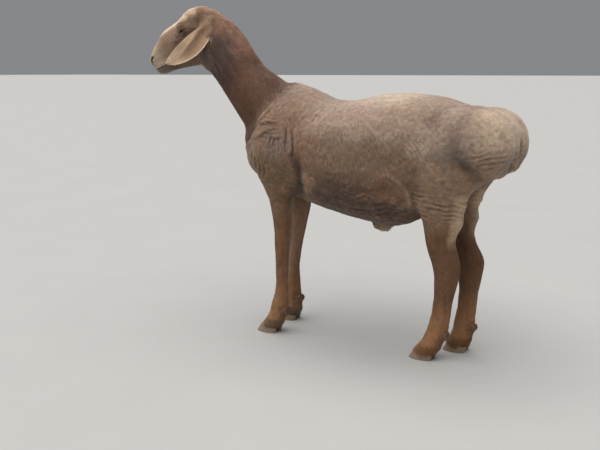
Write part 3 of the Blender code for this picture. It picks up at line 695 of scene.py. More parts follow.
# %% [markdown]
# ## Colours of the animal
# The clipped fleece is a dusty beige.  The long hair of the neck and the short hair of the legs are
# red-brown, the face is paler with a brown streak from the poll to the eye, and the fat lobes of the
# rump are nearly cream.  One function gives the colour of any point, and both skin and coat use it.

# %% Shades
SHADES = {name: linear(code) for name, code in dict(
    back="#bba894", upper_side="#99816f", side="#78614e", low_side="#664f3f", ash="#76675b", pale="#b3a08d",
    rump="#907a6a", lobe="#af9982", thigh="#8c725c", flank_red="#805a44", tan="#9a765b", belly="#564236",
    shoulder="#836753", chest="#725942", neck="#77584a", neck_red="#805b43", leg="#77563c", leg_dark="#57402f",
    face="#a58971", cream="#e6c9aa", streak="#66493a", muzzle="#ae9c85", lips="#4d4038", ear_inside="#ad8c6e",
    ear_rim="#dbc1a7", foot="#926a49", curl="#b18a70", cleft="#4c382d", pink="#a98b79", ear_fold="#866a52",
    tendon="#b79d82", nape="#a27a65", neck_low="#654b3d", painted_shade_under_head="#594a47", painted_shade_under_jaw="#66523f", nostril="#2b211c",
    eyelid="#57402f").items()}


def painted(count, base, *layers):
    """One base shade with layers of other shades mixed over it in turn, each with its share."""
    colours = np.tile(SHADES[base], (count, 1))
    for shade, share in layers:
        colours = colours + (SHADES[shade] - colours) * np.clip(share, 0, 1)[:, None]
    return colours


def patch(points, centre, radii, seed, ragged=0.35):
    """A spot with a ragged soft edge, from 0 to 1, the same on both sides; its numbers are in mm."""
    far = far_from(even(points), *path(*centre, *radii, axes=3))
    far = far + ragged * noise(points, 0.02, seed) + 0.5 * ragged * noise(points, 0.007, seed + 1)
    return ramp(1.0, 0.45, far)


def side_line(points, line, low, high):
    """1 near a line that is drawn flat from the side, 0 beyond `high` metres of it."""
    return ramp(high, low, to_line(points[:, [0, 2]], line)[0]) * ramp(0.03, 0.07, np.abs(points[:, 1]))


# %% Colours of the fleece
BELLY_EDGE = path(  # x, and the height under which the flank is dark
    30, 570, 100, 562, 160, 548, 260, 540, 300, 505, 350, 470)
BRISKET = path(-262, 660, -240, 600, -215, 545, -185, 490)
FORE_PATCHES = (  # shade, share, centre on either side, radii, seed, raggedness
    ("ash", 0.65, (-88, 125, 640), (70, 70, 70), 35, 0.5),
    ("flank_red", 0.45, (25, 140, 605), (70, 70, 100), 37, 0.6),
)
HIND_PATCHES = (
    # painted shade: the grey patch where the thigh meets the overhang of the fat lobe
    ("ash", 0.85, (510, 150, 655), (75, 70, 55), 44),
    ("flank_red", 0.55, (305, 150, 538), (85, 70, 70), 46, 0.7),
    ("thigh", 0.80, (372, 120, 515), (60, 90, 65), 57, 0.5),
    ("tan", 0.50, (400, 125, 485), (45, 70, 45), 47, 0.6),
    ("tan", 0.65, (20, 140, 545), (38, 70, 42), 48, 0.6),
    ("side", 0.45, (430, 130, 760), (75, 80, 40), 54),
    ("pale", 0.35, (405, 160, 680), (55, 70, 62), 56),
    ("pink", 0.45, (640, 60, 765), (45, 60, 40), 58),
)


def fleece_colours(points, blotches, grain):
    x, y, z = points.T
    streaks = noise(points * (0.4, 1, 1), 0.011, 41)
    height = z + 0.020 * blotches + 0.010 * streaks
    front = ramp(0.06, -0.04, x)
    under = np.interp(x, *BELLY_EDGE.T) - z - 0.006 * blotches - 0.004 * streaks
    brisket = to_line(points[:, [0, 2]], BRISKET)[0] + 0.010 * blotches
    # deep is where painted shade fills the low cleft of the rump.
    deep = np.exp(-(((y - CLEFT_SIDE) / 0.010) ** 2)) * ramp(0.56, 0.61, x) * ramp(0.70, 0.66, z)

    def spots(table):
        return [(shade, share * patch(points, *where)) for shade, share, *where in table]

    def line(shade, share, *where):
        return shade, share * side_line(points, *where)

    return painted(
        len(points), "side",
        ("upper_side", ramp(0.655, 0.735, height)),
        ("back", ramp(0.765, 0.845, height)),
        ("low_side", ramp(0.61, 0.54, height)),
        ("belly", ramp(0.53, 0.48, height)),
        ("belly", 0.50 * ramp(-0.008, 0.010, under) * ramp(0.00, 0.05, x)),
        ("rump", ramp(0.12, 0.00, x) * ramp(0.74, 0.80, height)),
        ("shoulder", front * ramp(0.84, 0.74, height)),
        ("chest", front * ramp(0.66, 0.58, height)),
        ("tan", 0.6 * ramp(0.030, 0.008, brisket) * ramp(0.02, 0.06, np.abs(y))),
        *spots(FORE_PATCHES),
        ("rump", ramp(0.34, 0.46, x) * ramp(0.62, 0.68, height)),
        ("thigh", ramp(0.36, 0.44, x) * ramp(0.66, 0.58, height)),
        ("lobe", ramp(0.54, 0.63, x) * ramp(0.62, 0.70, height)),
        ("rump", 0.8 * ramp(0.54, 0.62, x) * ramp(0.70, 0.62, z)),
        *spots(HIND_PATCHES),
        ("ash", 0.30 * ramp(0.1, 0.9, streaks + 0.4 * blotches)),
        ("pale", 0.20 * ramp(0.2, 0.9, -0.7 * streaks + 0.6 * grain)),
        # Painted light along the ridges of the flank fold and of the clipper's line.
        line("pale", 0.10, FLANK_FOLD, 0.001, 0.012),
        line("pale", 0.12, CLIP_LINE, 0.001, 0.007),
        ("cream", 0.55 * ramp(0.045, 0.020, far_from(points, (0.240, 0, 0.398)))),
        ("pale", 0.6 * patch(points, (650, 45, 600), (35, 50, 30), 38)),
        # Painted shade: the dark cleft shade lies in the hollow behind the elbow, in the creases of the
        # shoulder, under the fat lobe and low in the cleft of the rump.
        line("cleft", 0.75, ELBOW_HOLLOW, 0.004, 0.030),
        *(line("cleft", 0.30, crease, 0.001, 0.008) for crease in SHOULDER_CREASES),
        line("cleft", 0.35, LOBE_CREASE, 0.004, 0.036),
        ("cleft", 0.75 * deep),
        line("tendon", 0.8, HAMSTRING, 0.009, 0.028))


# %% Colours of the hair
def neck_colours(points, blotches):
    x, y, z = points.T
    across, down = points @ np.array([0.74, 0.0, 0.67]), points @ np.array([-0.67, 0, 0.74])
    locks = noise(np.stack([across, y, down * 0.15], axis=1), 0.011, 52)
    along, _, up = to_head(points).T
    return painted(
        len(points), "neck",
        ("neck_red", ramp(0.0, 0.6, blotches + 0.3) * 0.6),
        ("neck_low", 0.55 * ramp(0.94, 0.84, z - 0.10 * x - 0.03)),
        ("nape", 0.85 * ramp(-0.22, -0.10, along) * ramp(-0.11, -0.06, up - 0.45 * along)),
        # Painted shade on the neck below the ear.
        ("painted_shade_under_head", 0.85 * patch(points, (-375, 50, 930), (95, 85, 120), 53, 0.25)),
        ("curl", 0.80 * ramp(-0.005, 0.045, up + 0.02 * blotches) * ramp(-0.14, -0.04, along)),
        ("leg_dark", 0.35 * ramp(0.1, 0.9, locks)),
        ("curl", 0.20 * ramp(0.2, 0.9, -locks)))


def leg_colours(points, blotches):
    x, y, z = points.T
    streaks = noise(points * (1, 1, 0.25), 0.009, 50)
    inner, fore = ramp(0.02, -0.02, np.abs(y) - 0.075), ramp(0.16, 0.10, x)
    return painted(
        len(points), "leg",
        ("leg_dark", 0.5 * ramp(0, 0.8, streaks + 0.5 * blotches)),
        ("tendon", 0.9 * side_line(points, HAMSTRING, 0.009, 0.028) * ramp(0.345, 0.405, z)),
        ("leg_dark", 0.35 * inner * (1 - fore) * ramp(0.15, 0.30, z)),
        ("pink", 0.45 * inner * fore * ramp(0.12, 0.24, z)),
        ("leg_dark", 0.35 * ramp(0.25, 0.35, x) * ramp(0.14, 0.22, z) * ramp(0.40, 0.34, z)),
        ("foot", 0.8 * ramp(0.22, 0.07, z + 0.03 * blotches)),
        ("ash", 0.80 * ramp(0.075, 0.035, z + 0.01 * blotches) * ramp(0.3, 0.1, x)))


FACE_STREAKS = (  # along and up in the head's axes, share, and where the streak begins to fade
    (path(8, 100, 2, 78, 14, 56), 0.52, 0.022, 0.006),
    (path(56, 34, 76, 58, 98, 55, 124, 30), 0.55, 0.019, 0.005),
    (path(60, 30, 100, 22, 150, 12), 0.42, 0.024, 0.006),
)
NOSTRIL_WAY = (1 / math.sqrt(2), -1 / math.sqrt(2), 0)  # across the way in, forwards and outwards alike


def face_colours(local, streaks):
    here = even(local)
    along, out, up = here.T
    top = up - 0.10 * (along - 0.05) - 0.35 * out
    nostril, share = to_line(np.stack([here @ NOSTRIL_WAY, up], axis=1),
                             [(np.dot(place, NOSTRIL_WAY), place[2]) for place in NOSTRIL])
    nostril = nostril / (0.45 + 0.55 * ramp(0, 0.30, share) * ramp(1.0, 0.70, share))
    opening, _ = eye_opening(here - EYE)
    from_eye = far_from(here, EYE)
    marks = [("streak", share * ramp(wide, slim, to_line(here[:, [0, 2]], line)[0] + 0.010 * streaks)
              * ramp(0.020, 0.035, out)) for line, share, wide, slim in FACE_STREAKS]
    return painted(
        len(local), "face",
        # The cream top of the face is the pale bridge of the nose and partly a painted highlight where the sky
        # lights that edge.
        ("cream", 0.9 * ramp(0.055, 0.076, top + 0.004 * streaks)),
        ("cream", 0.9 * ramp(0.08, 0.05, along) * ramp(0.078, 0.098, up + 0.010 * streaks)),
        ("curl", 0.8 * ramp(0.026, 0.008, along + 0.010 * streaks) * ramp(0.04, 0.07, up)),
        *marks,
        ("ear_inside", 0.6 * ramp(1.1, 0.6, far_from(here, EAR_ROOT, (0.044, 0.036, 0.046)))),
        # Painted shade: the underside of the jaw and the throat behind it are darkened where the head's shadow
        # falls.
        ("painted_shade_under_jaw", 0.80 * ramp(-0.022, -0.050, up + 0.006 * streaks - 0.10 * (along - 0.10))),
        ("painted_shade_under_head", 0.85 * ramp(0.095, 0.045, along + 0.010 * streaks)
         * ramp(-0.010, -0.042, up + 0.006 * streaks)),
        ("muzzle", ramp(0.18, 0.23, along)),
        ("lips", 0.9 * ramp(0.006, 0.0015, to_line(here, MOUTH)[0])),
        # Painted shade: the nostril slits are painted near black, as the shade inside the openings.
        ("nostril", ramp(0.0052, 0.0022, nostril) * (along > 0.225)),
        ("lips", 0.75 * ramp(0.15, 0.19, along) * ramp(0.000, -0.016, up + 0.003 * streaks)),
        ("eyelid", 0.60 * ramp(0.0230, 0.0160, from_eye)),
        ("nostril", 0.60 * ramp(1.55, 1.10, opening) * (from_eye < 0.020)))


def ear_colours(t, v, off):
    past = v - ear_fold(t)
    return painted(
        len(t), "ear_inside",
        # Painted shade and light of the ear's cup: the band below the fold is darkened and the strip above it
        # lightened; then the rims and the tip are made pale.
        ("ear_fold", 0.62 * ramp(-0.12, 0.16, past) * ramp(0.95, 0.35, past) * ramp(0.78, 0.42, t)),
        ("ear_rim", 0.30 * ramp(0.08, -0.12, past) * ramp(0.10, 0.30, t)),
        ("ear_rim", 0.9 * ramp(0.80, 0.95, v)),
        ("ear_rim", 0.5 * ramp(0.85, 0.97, -v)),
        ("ear_rim", 0.55 * ramp(0.55, 0.85, t)),
        ("face", 0.7 * ramp(0.0, 0.001, -off)))


# %% Markings
def markings(points, places, ears):
    z = points[:, 2]
    blotches, grain, speckle = noise(points, 0.055, 42), noise(points, 0.006, 43), noise(points, 0.0035, 45)
    edge = places.past_shear + 0.010 * grain + 0.012 * blotches
    low_front = ramp(0.72, 0.66, z)
    edge = (edge + 0.030 * noise(points, 0.035, 55) * low_front) * (1 - 0.5 * low_front)
    soft = 0.052 + 0.020 * ramp(0.72, 0.80, z)
    on_neck = ramp(soft, 0.016 - soft, edge) * (1 - places.head)
    colours = fleece_colours(points, blotches, grain)
    for over, share in ((leg_colours(points, blotches), places.leg), (neck_colours(points, blotches), on_neck),
                        (face_colours(places.local, grain), places.head), (ear_colours(*ears[1:]), ears[0])):
        colours += (over - colours) * share[:, None]
    return colours * (1 + (0.12 * grain + 0.10 * speckle) * (1 - 0.4 * places.head) + 0.07 * blotches)[:, None]


def hollows(passes):
    """How deep each point of the skin lies below its wider surroundings, in metres."""
    soft = skin_points
    for _ in range(passes):
        soft = near_skin.mean(soft)
    return ((soft - skin_points) * skin_normals).sum(axis=1)


def keep_colours(obj, colours):
    layer = obj.data.color_attributes.new("marking", "FLOAT_COLOR", "POINT")
    flat = np.hstack([np.clip(colours, 0, 1), np.ones((len(colours), 1))]).astype(np.float32)
    layer.data.foreach_set("color", flat.ravel())


places, ears = Regions(skin_points), ear_places(skin_points)
skin_normals = normals_of(skin)
# Painted shade and light: the colour is darkened where the skin lies below its surroundings and lightened on
# its ridges, less so near the ear's root.
shade = hollows(4) / (1.0 * MM) + hollows(16) / (6.0 * MM)  # painted shade in the folds and hollows, painted light on the ridges
shade *= 0.2 + 0.8 * ramp(1.0, 1.6, root_far)
skin_colours = markings(skin_points, places, ears) * np.clip(1 - 0.34 * shade, 0.50, 1.25)[:, None]
keep_colours(skin, skin_colours)
print("mean colour of the skin, linear:", np.round(skin_colours.mean(axis=0), 3))

# %% [markdown]
# ## Materials of skin and coat
# Hair and wool are keratin: matt, with a soft bright edge where the light grazes it, which is what
# sheen draws.  The skin carries the finest nap as bump.


# %% One helper for nodes
def add(tree, kind, inputs=None, **settings):
    """Adds a node and feeds its inputs with values, sockets, or the first output of other nodes."""
    node = tree.nodes.new("ShaderNode" + kind)
    for key, value in settings.items():
        setattr(node, key, value)
    for socket, source in (inputs or {}).items():
        if isinstance(source, bpy.types.Node):
            source = source.outputs[0]
        if isinstance(source, bpy.types.NodeSocket):
            tree.links.new(source, node.inputs[socket])
        else:
            node.inputs[socket].default_value = source
    return node


def maths(tree, operation, *values):
    return add(tree, "Math", dict(enumerate(values)), operation=operation)


def new_material(name):
    """An empty material, and its place in metres as a source."""
    material = bpy.data.materials.new(name)
    material.use_nodes = True
    tree = material.node_tree
    tree.nodes.clear()
    return material, tree, add(tree, "TexCoord").outputs["Object"]


def finish_shader(tree, colour, roughness, **named):
    inputs = {"Base Color": colour, "Roughness": roughness}
    inputs.update({key.replace("_", " "): value for key, value in named.items()})
    add(tree, "OutputMaterial", {"Surface": add(tree, "BsdfPrincipled", inputs)})


def rgba(code):
    return (*linear(code), 1.0)


# %% Clipped fleece, and tufts of hair and wool
KERATIN = {"IOR": 1.54}


def marked(tree, source, darkest, lightest):
    """The markings of the animal, varied by a noise."""
    marking = add(tree, "Attribute", attribute_name="marking")
    shade = add(tree, "MapRange", {"Value": source, "From Min": 0.3, "From Max": 0.7,
                                   "To Min": darkest, "To Max": lightest})
    return add(tree, "VectorMath", {0: marking, 1: shade}, operation="MULTIPLY")


def clipped_fleece():
    """Wool cut to a few millimetres: a felt of short crimped fibres, matt, with ridges of the comb."""
    material, tree, place = new_material("clipped_fleece")
    nap = add(tree, "TexNoise", {"Vector": place, "Scale": 1 / (2.2 * MM), "Detail": 3.0, "Roughness": 0.65})
    crimp = add(tree, "TexNoise", {"Vector": place, "Scale": 1 / (7.0 * MM), "Detail": 2.0, "Roughness": 0.5})
    bump = add(tree, "Bump", {"Height": maths(tree, "MULTIPLY_ADD", crimp, 1.3, nap), "Strength": 0.55,
                              "Distance": 1.1 * MM})
    finish_shader(tree, marked(tree, nap, 0.80, 1.14), 0.88, Specular_IOR_Level=0.25, Sheen_Weight=0.20,
                  Sheen_Roughness=0.5, Normal=bump, **KERATIN)
    return material


def keratin_tufts(name, roughness, sheen):
    """Locks of hair or wool: keratin, a little glossy where the hair is long."""
    material, tree, place = new_material(name)
    strands = add(tree, "TexNoise", {"Vector": place, "Scale": 1 / (3.0 * MM), "Detail": 2.0})
    finish_shader(tree, marked(tree, strands, 0.90, 1.10), roughness, Specular_IOR_Level=0.18,
                  Sheen_Weight=sheen, Sheen_Roughness=0.45, **KERATIN)
    return material


skin.data.materials.clear()
skin.data.materials.append(clipped_fleece())
skin.data.polygons.foreach_set("material_index", np.zeros(len(skin.data.polygons), np.int32))
skin.data.shade_smooth()
WOOL = keratin_tufts("wool_tufts", 0.90, 0.20)
HAIR = keratin_tufts("guard_hair", 0.75, 0.10)
print("materials:", [material.name for material in bpy.data.materials])

# %% [markdown]
# ## The coat
# Fur could be particle hair, but only solid shapes can be kept as a mesh.  So each tuft is a thin
# closed spike of three sides that leans with the lie of the coat.  All tufts of one kind are made at
# once from arrays: roots are sown over the skin, and rings of three points are strung along a curve.


# %% Lie of the coat
def lie_of_coat():
    """The direction in which the hair lies, along the skin."""
    x, y, _ = skin_points.T
    side = np.where(y < 0, -1.0, 1.0)[:, None]
    mirror = np.hstack([np.ones_like(side), side, np.ones_like(side)])
    ear_flow = (mirror * EAR_WAY) @ HEAD_AXES
    flow = np.tile([1.0, 0.0, -0.45], (len(skin_points), 1))
    for way, share in ((np.array([0.45, 0.0, -0.85]), ramp(0.50, 0.60, x)),
                       (np.array([0.67, 0.0, -0.74]), places.neck),
                       (np.array([0.05, 0.0, -1.0]), places.leg),
                       (-ALONG - 0.30 * UP + 0.25 * side * RIGHT, places.head),
                       (ear_flow + ears[2][:, None] * -UP * 0.3, ears[0])):
        flow = flow * (1 - share[:, None]) + way * share[:, None]
    flow = flow + noise(skin_points, 0.030, 61)[:, None] * 0.22 * np.cross(skin_normals, flow)
    return along_skin(flow, skin_normals)


def along_skin(ways, normals):
    return unit(ways - normals * (ways * normals).sum(axis=1, keepdims=True))


skin_flow = lie_of_coat()
skin_triangles = triangles_of(skin)
a, b, c = (skin_points[skin_triangles[:, corner]] for corner in range(3))
triangle_areas = np.linalg.norm(np.cross(b - a, c - a), axis=1) / 2
print("skin area:", round(float(triangle_areas.sum()), 2), "square metres")


# %% Sowing roots
SQUARE_CM = 1e-4  # in square metres


class Roots:
    """Places on the skin, with everything that the skin knows there."""

    def __init__(self, share, per_square_cm):
        weight = triangle_areas * (share * per_square_cm / SQUARE_CM)[skin_triangles].mean(axis=1)
        self.count = int(weight.sum())
        pick = rng.choice(len(weight), self.count, p=weight / weight.sum())
        a, b = rng.random((2, self.count))
        over = a + b > 1
        a, b = np.where(over, 1 - a, a), np.where(over, 1 - b, b)
        self.share = np.stack([1 - a - b, a, b], axis=1)
        self.corner = skin_triangles[pick]
        self.points = self.read(skin_points)
        self.normals = unit(self.read(skin_normals))
        self.flow = along_skin(self.read(skin_flow), self.normals)
        self.colours = self.read(skin_colours)

    def read(self, values):
        """Values of the skin's points, at the roots."""
        share = self.share if values.ndim == 1 else self.share[:, :, None]
        return (values[self.corner] * share).sum(axis=1)


# %% An unwrap of the skin for the coat's own map
LEG_AXES = {leg: sum(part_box(f"{leg}_lower_leg"), Vector()) / 2 for leg in LEGS}
CHART_SCALE = 0.45  # map units per metre
PATCH = 0.003  # width of one tuft on the map
NECK_BASE = (-0.20, 0, 0.80)


def on_the_unwrap(points):
    """Each root's place on charts that are rolled off the trunk, neck, head, legs and ears."""
    def turn(across, up):
        return np.arctan2(across, up) / (2 * math.pi) + 0.5

    x, y, z = points.T
    zone, (near, t, v, off) = Regions(points), ear_places(points)
    along, out, up = zone.local.T
    slide, rise = ((points - NECK_BASE) @ np.array(way) for way in ([-0.70, 0, 0.714], [0.714, 0, 0.70]))
    spots = np.stack([0.02 + 0.55 * turn(y, z - 0.62), 0.02 + CHART_SCALE * (x + 0.34)], axis=1)
    charts = [(zone.neck > 0.5, 0.60 + 0.30 * turn(y, rise), 0.02 + CHART_SCALE * (slide + 0.30)),
              (zone.head > 0.5, 0.60 + 0.26 * turn(out, up - 0.03), 0.40 + CHART_SCALE * (along + 0.08))]
    for number, (name, axis) in enumerate(LEG_AXES.items()):
        this_leg = ((y < 0) == name.startswith("left")) & ((x < LEG_SPLIT) == name.endswith("fore"))
        round_leg = 0.02 + 0.15 * number + 0.12 * turn(y - axis.y, x - axis.x)
        charts.append((this_leg & (zone.leg > 0.5), round_leg, 0.55 + CHART_SCALE * z))
    column = 0.02 + 0.16 * ((y > 0) * 2 + (off < 0))
    charts.append((near > 0.5, column + 0.06 * (v + 1), 0.82 + 0.12 * t))
    for on, u, w in charts:
        spots = np.where(on[:, None], np.stack([u, w], axis=1), spots)
    return spots


# %% Building tufts from arrays
MOST_TRIANGLES = 190_000
BEND = 0.6  # how far a tuft bends back to the skin
ROOT_DEPTH = 0.3 * MM
CURL_WIDTH = 0.22  # radius of a curl, as a share of its length
ROOT_SHADE, TIP_SHADE = 0.82, 1.08  # a tuft is darker at the root


def tuft_faces(rings):
    """Triangles of one spike of `rings` rings of three points and a tip."""
    faces = [(0, 1, 2)]
    for low in range(0, 3 * rings - 3, 3):
        for i, j in ((0, 1), (1, 2), (2, 0)):
            faces += [(low + i, low + 3 + i, low + j), (low + j, low + 3 + i, low + 3 + j)]
    last = 3 * (rings - 1)
    faces += [(last + i, 3 * rings, last + (i + 1) % 3) for i in range(3)]
    return np.array(faces)[:, ::-1]


def coat_pieces(name, roots, length, width, lean, material, rings=1, sway=0.10, curl=0.0, stray=0.12,
                soft=0.55):
    """Makes tufts at the roots, in pieces of less than 200,000 triangles, from head to tail."""
    count = roots.count
    turn = rng.normal(0, stray, count)[:, None]
    way = unit(roots.flow + turn * np.cross(roots.normals, roots.flow))
    side = np.cross(roots.normals, way)
    length = (length * rng.uniform(0.75, 1.20, count))[:, None]
    width = (width * rng.uniform(0.80, 1.20, count))[:, None]
    lean = (math.radians(lean) * rng.uniform(0.6, 1.4, count))[:, None]
    drift = rng.normal(0, sway, count)[:, None]
    phase = rng.uniform(0, 2 * math.pi, count)[:, None]
    steps = np.linspace(0, 1, rings + 1)
    slim = (1 - steps[:-1]) ** 0.7
    points = []
    for step, thin in zip(steps, (*slim, 0)):
        row = roots.points + way * length * step * np.cos(lean) + side * length * drift * step**2
        rise = length * (np.sin(lean) * step - BEND * np.sin(lean) * step**2)
        row = row + roots.normals * (rise - ROOT_DEPTH)
        if curl:
            angle = phase + curl * step
            swing = way * (np.cos(angle) - np.cos(phase)) + side * (np.sin(angle) - np.sin(phase))
            row = row + swing * length * CURL_WIDTH
        points += [row + side * width * thin / 2, row + roots.normals * width * thin * 0.45,
                   row - side * width * thin / 2] if thin else [row]
    points = np.stack(points, axis=1)  # count, 3 * rings + 1, 3
    faces = tuft_faces(rings)
    outward = unit(points - points.mean(axis=1, keepdims=True))
    shading = unit(roots.normals[:, None, :] * soft + outward * (1 - soft))
    tone = rng.normal(1.0, 0.09, count)[:, None, None]
    depth = np.append(np.repeat(ROOT_SHADE + 0.25 * steps[:-1], 3), TIP_SHADE)[None, :, None]
    colours = np.clip(roots.colours[:, None, :] * tone * depth, 0, 1)
    chart = on_the_unwrap(roots.points)
    angles = np.array([0, 2, 4]) * math.pi / 3
    spots = np.vstack([np.stack([np.cos(angles), np.sin(angles)], axis=1) * PATCH / 2 * thin for thin in slim]
                      + [np.zeros((1, 2))])[faces]
    spots[0] *= 0.05  # the hidden face at the root
    made = max(1, math.ceil(count / (MOST_TRIANGLES // len(faces))))
    for number, part in enumerate(np.array_split(np.argsort(roots.points[:, 0], kind="stable"), made), 1):
        flat = (np.arange(len(part)) * points.shape[1])[:, None, None] + faces[None]
        piece = mesh_object(f"{name}_{number}", points[part].reshape(-1, 3), flat.reshape(-1, 3))
        keep_colours(piece, colours[part].reshape(-1, 3))
        corners = (chart[part][:, None, None, :] + spots[None]).astype(np.float32)
        piece.data.uv_layers.new(name="OFBake").uv.foreach_set("vector", corners.ravel())
        piece.data.shade_smooth()
        normals = piece.data.attributes.new("custom_normal", "FLOAT_VECTOR", "POINT")
        normals.data.foreach_set("vector", shading[part].astype(np.float32).ravel())
        piece.data.materials.append(material)
        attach(piece, BODY)
    print(name, count, "tufts,", count * len(faces), "triangles in", made, "pieces")


# %% Coat of the trunk, the neck, the face, the legs and the ears
off_ear = 1 - ears[0]
along, _, up = places.local.T
from_eye = far_from(even(places.local), EYE)

fleece = Roots(places.wool * off_ear, 7)
coat_pieces("fleece", fleece, 5.0 * MM, 1.7 * MM, 19, WOOL, stray=0.6, soft=0.82)

neck = places.neck * off_ear
long_hair = Roots(neck, 21)
lengths = 19 * MM * (0.45 + 0.55 * long_hair.read(places.neck))
coat_pieces("neck_hair", long_hair, lengths, 1.5 * MM, 11, HAIR, rings=2, stray=0.13, soft=0.82)

face_hair = Roots(places.head * off_ear * (1 - 0.5 * places.muzzle) * ramp(0.0170, 0.0215, from_eye), 30)
shorter = 1 - 0.6 * face_hair.read(places.muzzle)
coat_pieces("face_hair", face_hair, 6.5 * MM * shorter, 1.2 * MM * shorter, 12, HAIR, soft=0.7)

leg_hair = Roots(places.leg * (1 - 0.3 * places.foot), 13)
coat_pieces("leg_hair", leg_hair, 10.0 * MM, 1.4 * MM, 11, HAIR, soft=0.7)

ear_hair = Roots(ears[0], 24)
coat_pieces("ear_hair", ear_hair, 5.0 * MM, 1.0 * MM, 9, HAIR, soft=0.35)

# %% Lashes, and the crest of the nape
opening, above = eye_opening(even(places.local) - EYE)
lashes = Roots(hump(1.16, 0.16, opening) * ramp(0.15, 0.40, above) * (from_eye < 0.020), 170)
lashes.colours[:] = SHADES["nostril"]
lashes.flow = along_skin(-UP, lashes.normals)
coat_pieces("lashes", lashes, 6.5 * MM, 0.45 * MM, 48, HAIR, rings=2, stray=0.25, soft=0.5)

crest = Roots(neck * ramp(0.30, 0.80, skin_normals @ unit(np.array([0.74, 0.0, 0.67]))), 14)
coat_pieces("nape_crest", crest, 24 * MM, 1.25 * MM, 17, HAIR, rings=3, stray=0.2, soft=0.85)

# %% Fringe over the claws, tags under the rump, the tuft of the belly, and curls on the poll
height = skin_points[:, 2]
fringe = Roots(ramp(0.030, 0.036, height) * ramp(0.062, 0.050, height), 40)
lengths = 19 * MM + 7 * MM * (fringe.points[:, 0] > LEG_SPLIT)  # longer on the hind feet
coat_pieces("foot_fringe", fringe, lengths, 1.4 * MM, 6, HAIR, rings=2, stray=0.2, soft=0.65)

at_heel = ramp(0.060, 0.070, height) * ramp(0.125, 0.105, height) * ramp(0.2, 0.7, skin_normals[:, 0])
heel = Roots(at_heel, 18)
coat_pieces("fetlock_hair", heel, 15 * MM, 1.4 * MM, 16, HAIR, rings=3, stray=0.2, soft=0.65)

under_rump = far_from(even(skin_points), (0.648, 0.045, 0.600), (0.030, 0.045, 0.028))
tags = Roots(ramp(1.0, 0.4, under_rump), 26)
coat_pieces("rump_tags", tags, 14 * MM, 2.6 * MM, 30, WOOL, rings=4, curl=3.4,
            stray=0.8, soft=0.6)

under_belly = far_from(skin_points, (0.235, 0, 0.405), (0.035, 0.030, 0.030))
tuft = Roots(ramp(1.0, 0.5, under_belly), 22)
coat_pieces("belly_tuft", tuft, 17 * MM, 2.0 * MM, 24, WOOL, rings=3, curl=0.8,
            stray=0.3, soft=0.6)

curls = Roots(places.head * off_ear * ramp(0.062, 0.040, along) * ramp(0.035, 0.075, up), 56)
coat_pieces("poll_curls", curls, 11 * MM, 1.05 * MM, 24, WOOL, rings=3, curl=2.6,
            stray=0.7, soft=0.65)

# %% [markdown]
# ## Skin, eyes, claws
# The skin stands for every node of flesh and both ears.  A sheep's eye is a dark ball with an amber
# iris and a level slot for a pupil.

# %% The skin replaces the flesh
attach(skin, BODY)
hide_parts(*FLESH, "left_ear", "right_ear")


# %% Eyes
def wet_eye():
    """A living eye: dark amber iris under a wet, clear front, so it has one small sharp highlight."""
    material, tree, place = new_material("wet_eye")
    parts = add(tree, "SeparateXYZ", {0: place}).outputs
    flat = add(tree, "CombineXYZ", {0: parts[0], 1: parts[1]})
    far = add(tree, "VectorMath", {0: flat}, operation="LENGTH").outputs["Value"]
    fibres = add(tree, "TexNoise", {"Vector": place, "Scale": 0.9 / MM, "Detail": 3.0})
    iris = add(tree, "MixRGB", {0: fibres, 1: rgba("#6b4a28"), 2: rgba("#3f2915")})
    white = add(tree, "MapRange", {"Value": far, "From Min": 8.6 * MM, "From Max": 9.6 * MM})
    ball = add(tree, "MixRGB", {0: white, 1: iris, 2: rgba("#3a2a22")})
    wide = maths(tree, "POWER", maths(tree, "DIVIDE", parts[0], 5.4 * MM), 4.0)
    tall = maths(tree, "POWER", maths(tree, "DIVIDE", parts[1], 2.3 * MM), 2.0)
    pupil = add(tree, "MapRange", {"Value": maths(tree, "ADD", wide, tall), "From Min": 0.85, "From Max": 1.15})
    colour = add(tree, "MixRGB", {0: pupil, 1: rgba("#060505"), 2: ball})
    finish_shader(tree, colour, 0.30, IOR=1.38, Specular_IOR_Level=0.1, Coat_Weight=0.25, Coat_Roughness=0.04,
                  Coat_IOR=1.38)
    return material


def eyeball(name, side, material):
    """A ball with a slightly raised clear front, turned to look out and a little forward."""
    bm = bmesh.new()
    bmesh.ops.create_uvsphere(bm, u_segments=48, v_segments=32, radius=EYE_RADIUS - 0.4 * MM)
    for vert in bm.verts:
        rise = 1.1 * MM * float(ramp(0.70, 0.95, vert.co.normalized().z))
        vert.co += vert.co.normalized() * rise
        if vert.co.z > EYE_RADIUS:
            vert.co *= EYE_RADIUS / vert.co.length
    mesh = bpy.data.meshes.new(f"{name}ball")
    bm.to_mesh(mesh)
    bm.free()
    mesh.shade_smooth()
    mesh.materials.append(material)
    ball = bpy.data.objects.new(f"{name}ball", mesh)
    bpy.context.scene.collection.objects.link(ball)
    look = unit(np.array([0.14, side * 1.0, 0.06]) @ HEAD_AXES)
    level = unit(np.cross(UP, look))
    axes = np.stack([level, np.cross(look, level), look], axis=1)
    ball.matrix_world = Matrix.Translation(from_head(EYE * (1, side, 1))) @ Matrix(axes.tolist()).to_4x4()
    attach(ball, BODY)
    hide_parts(name)


eye_material = wet_eye()
for name, side in SIDES:
    eyeball(f"{name}_eye", side, eye_material)
print("eyes set")


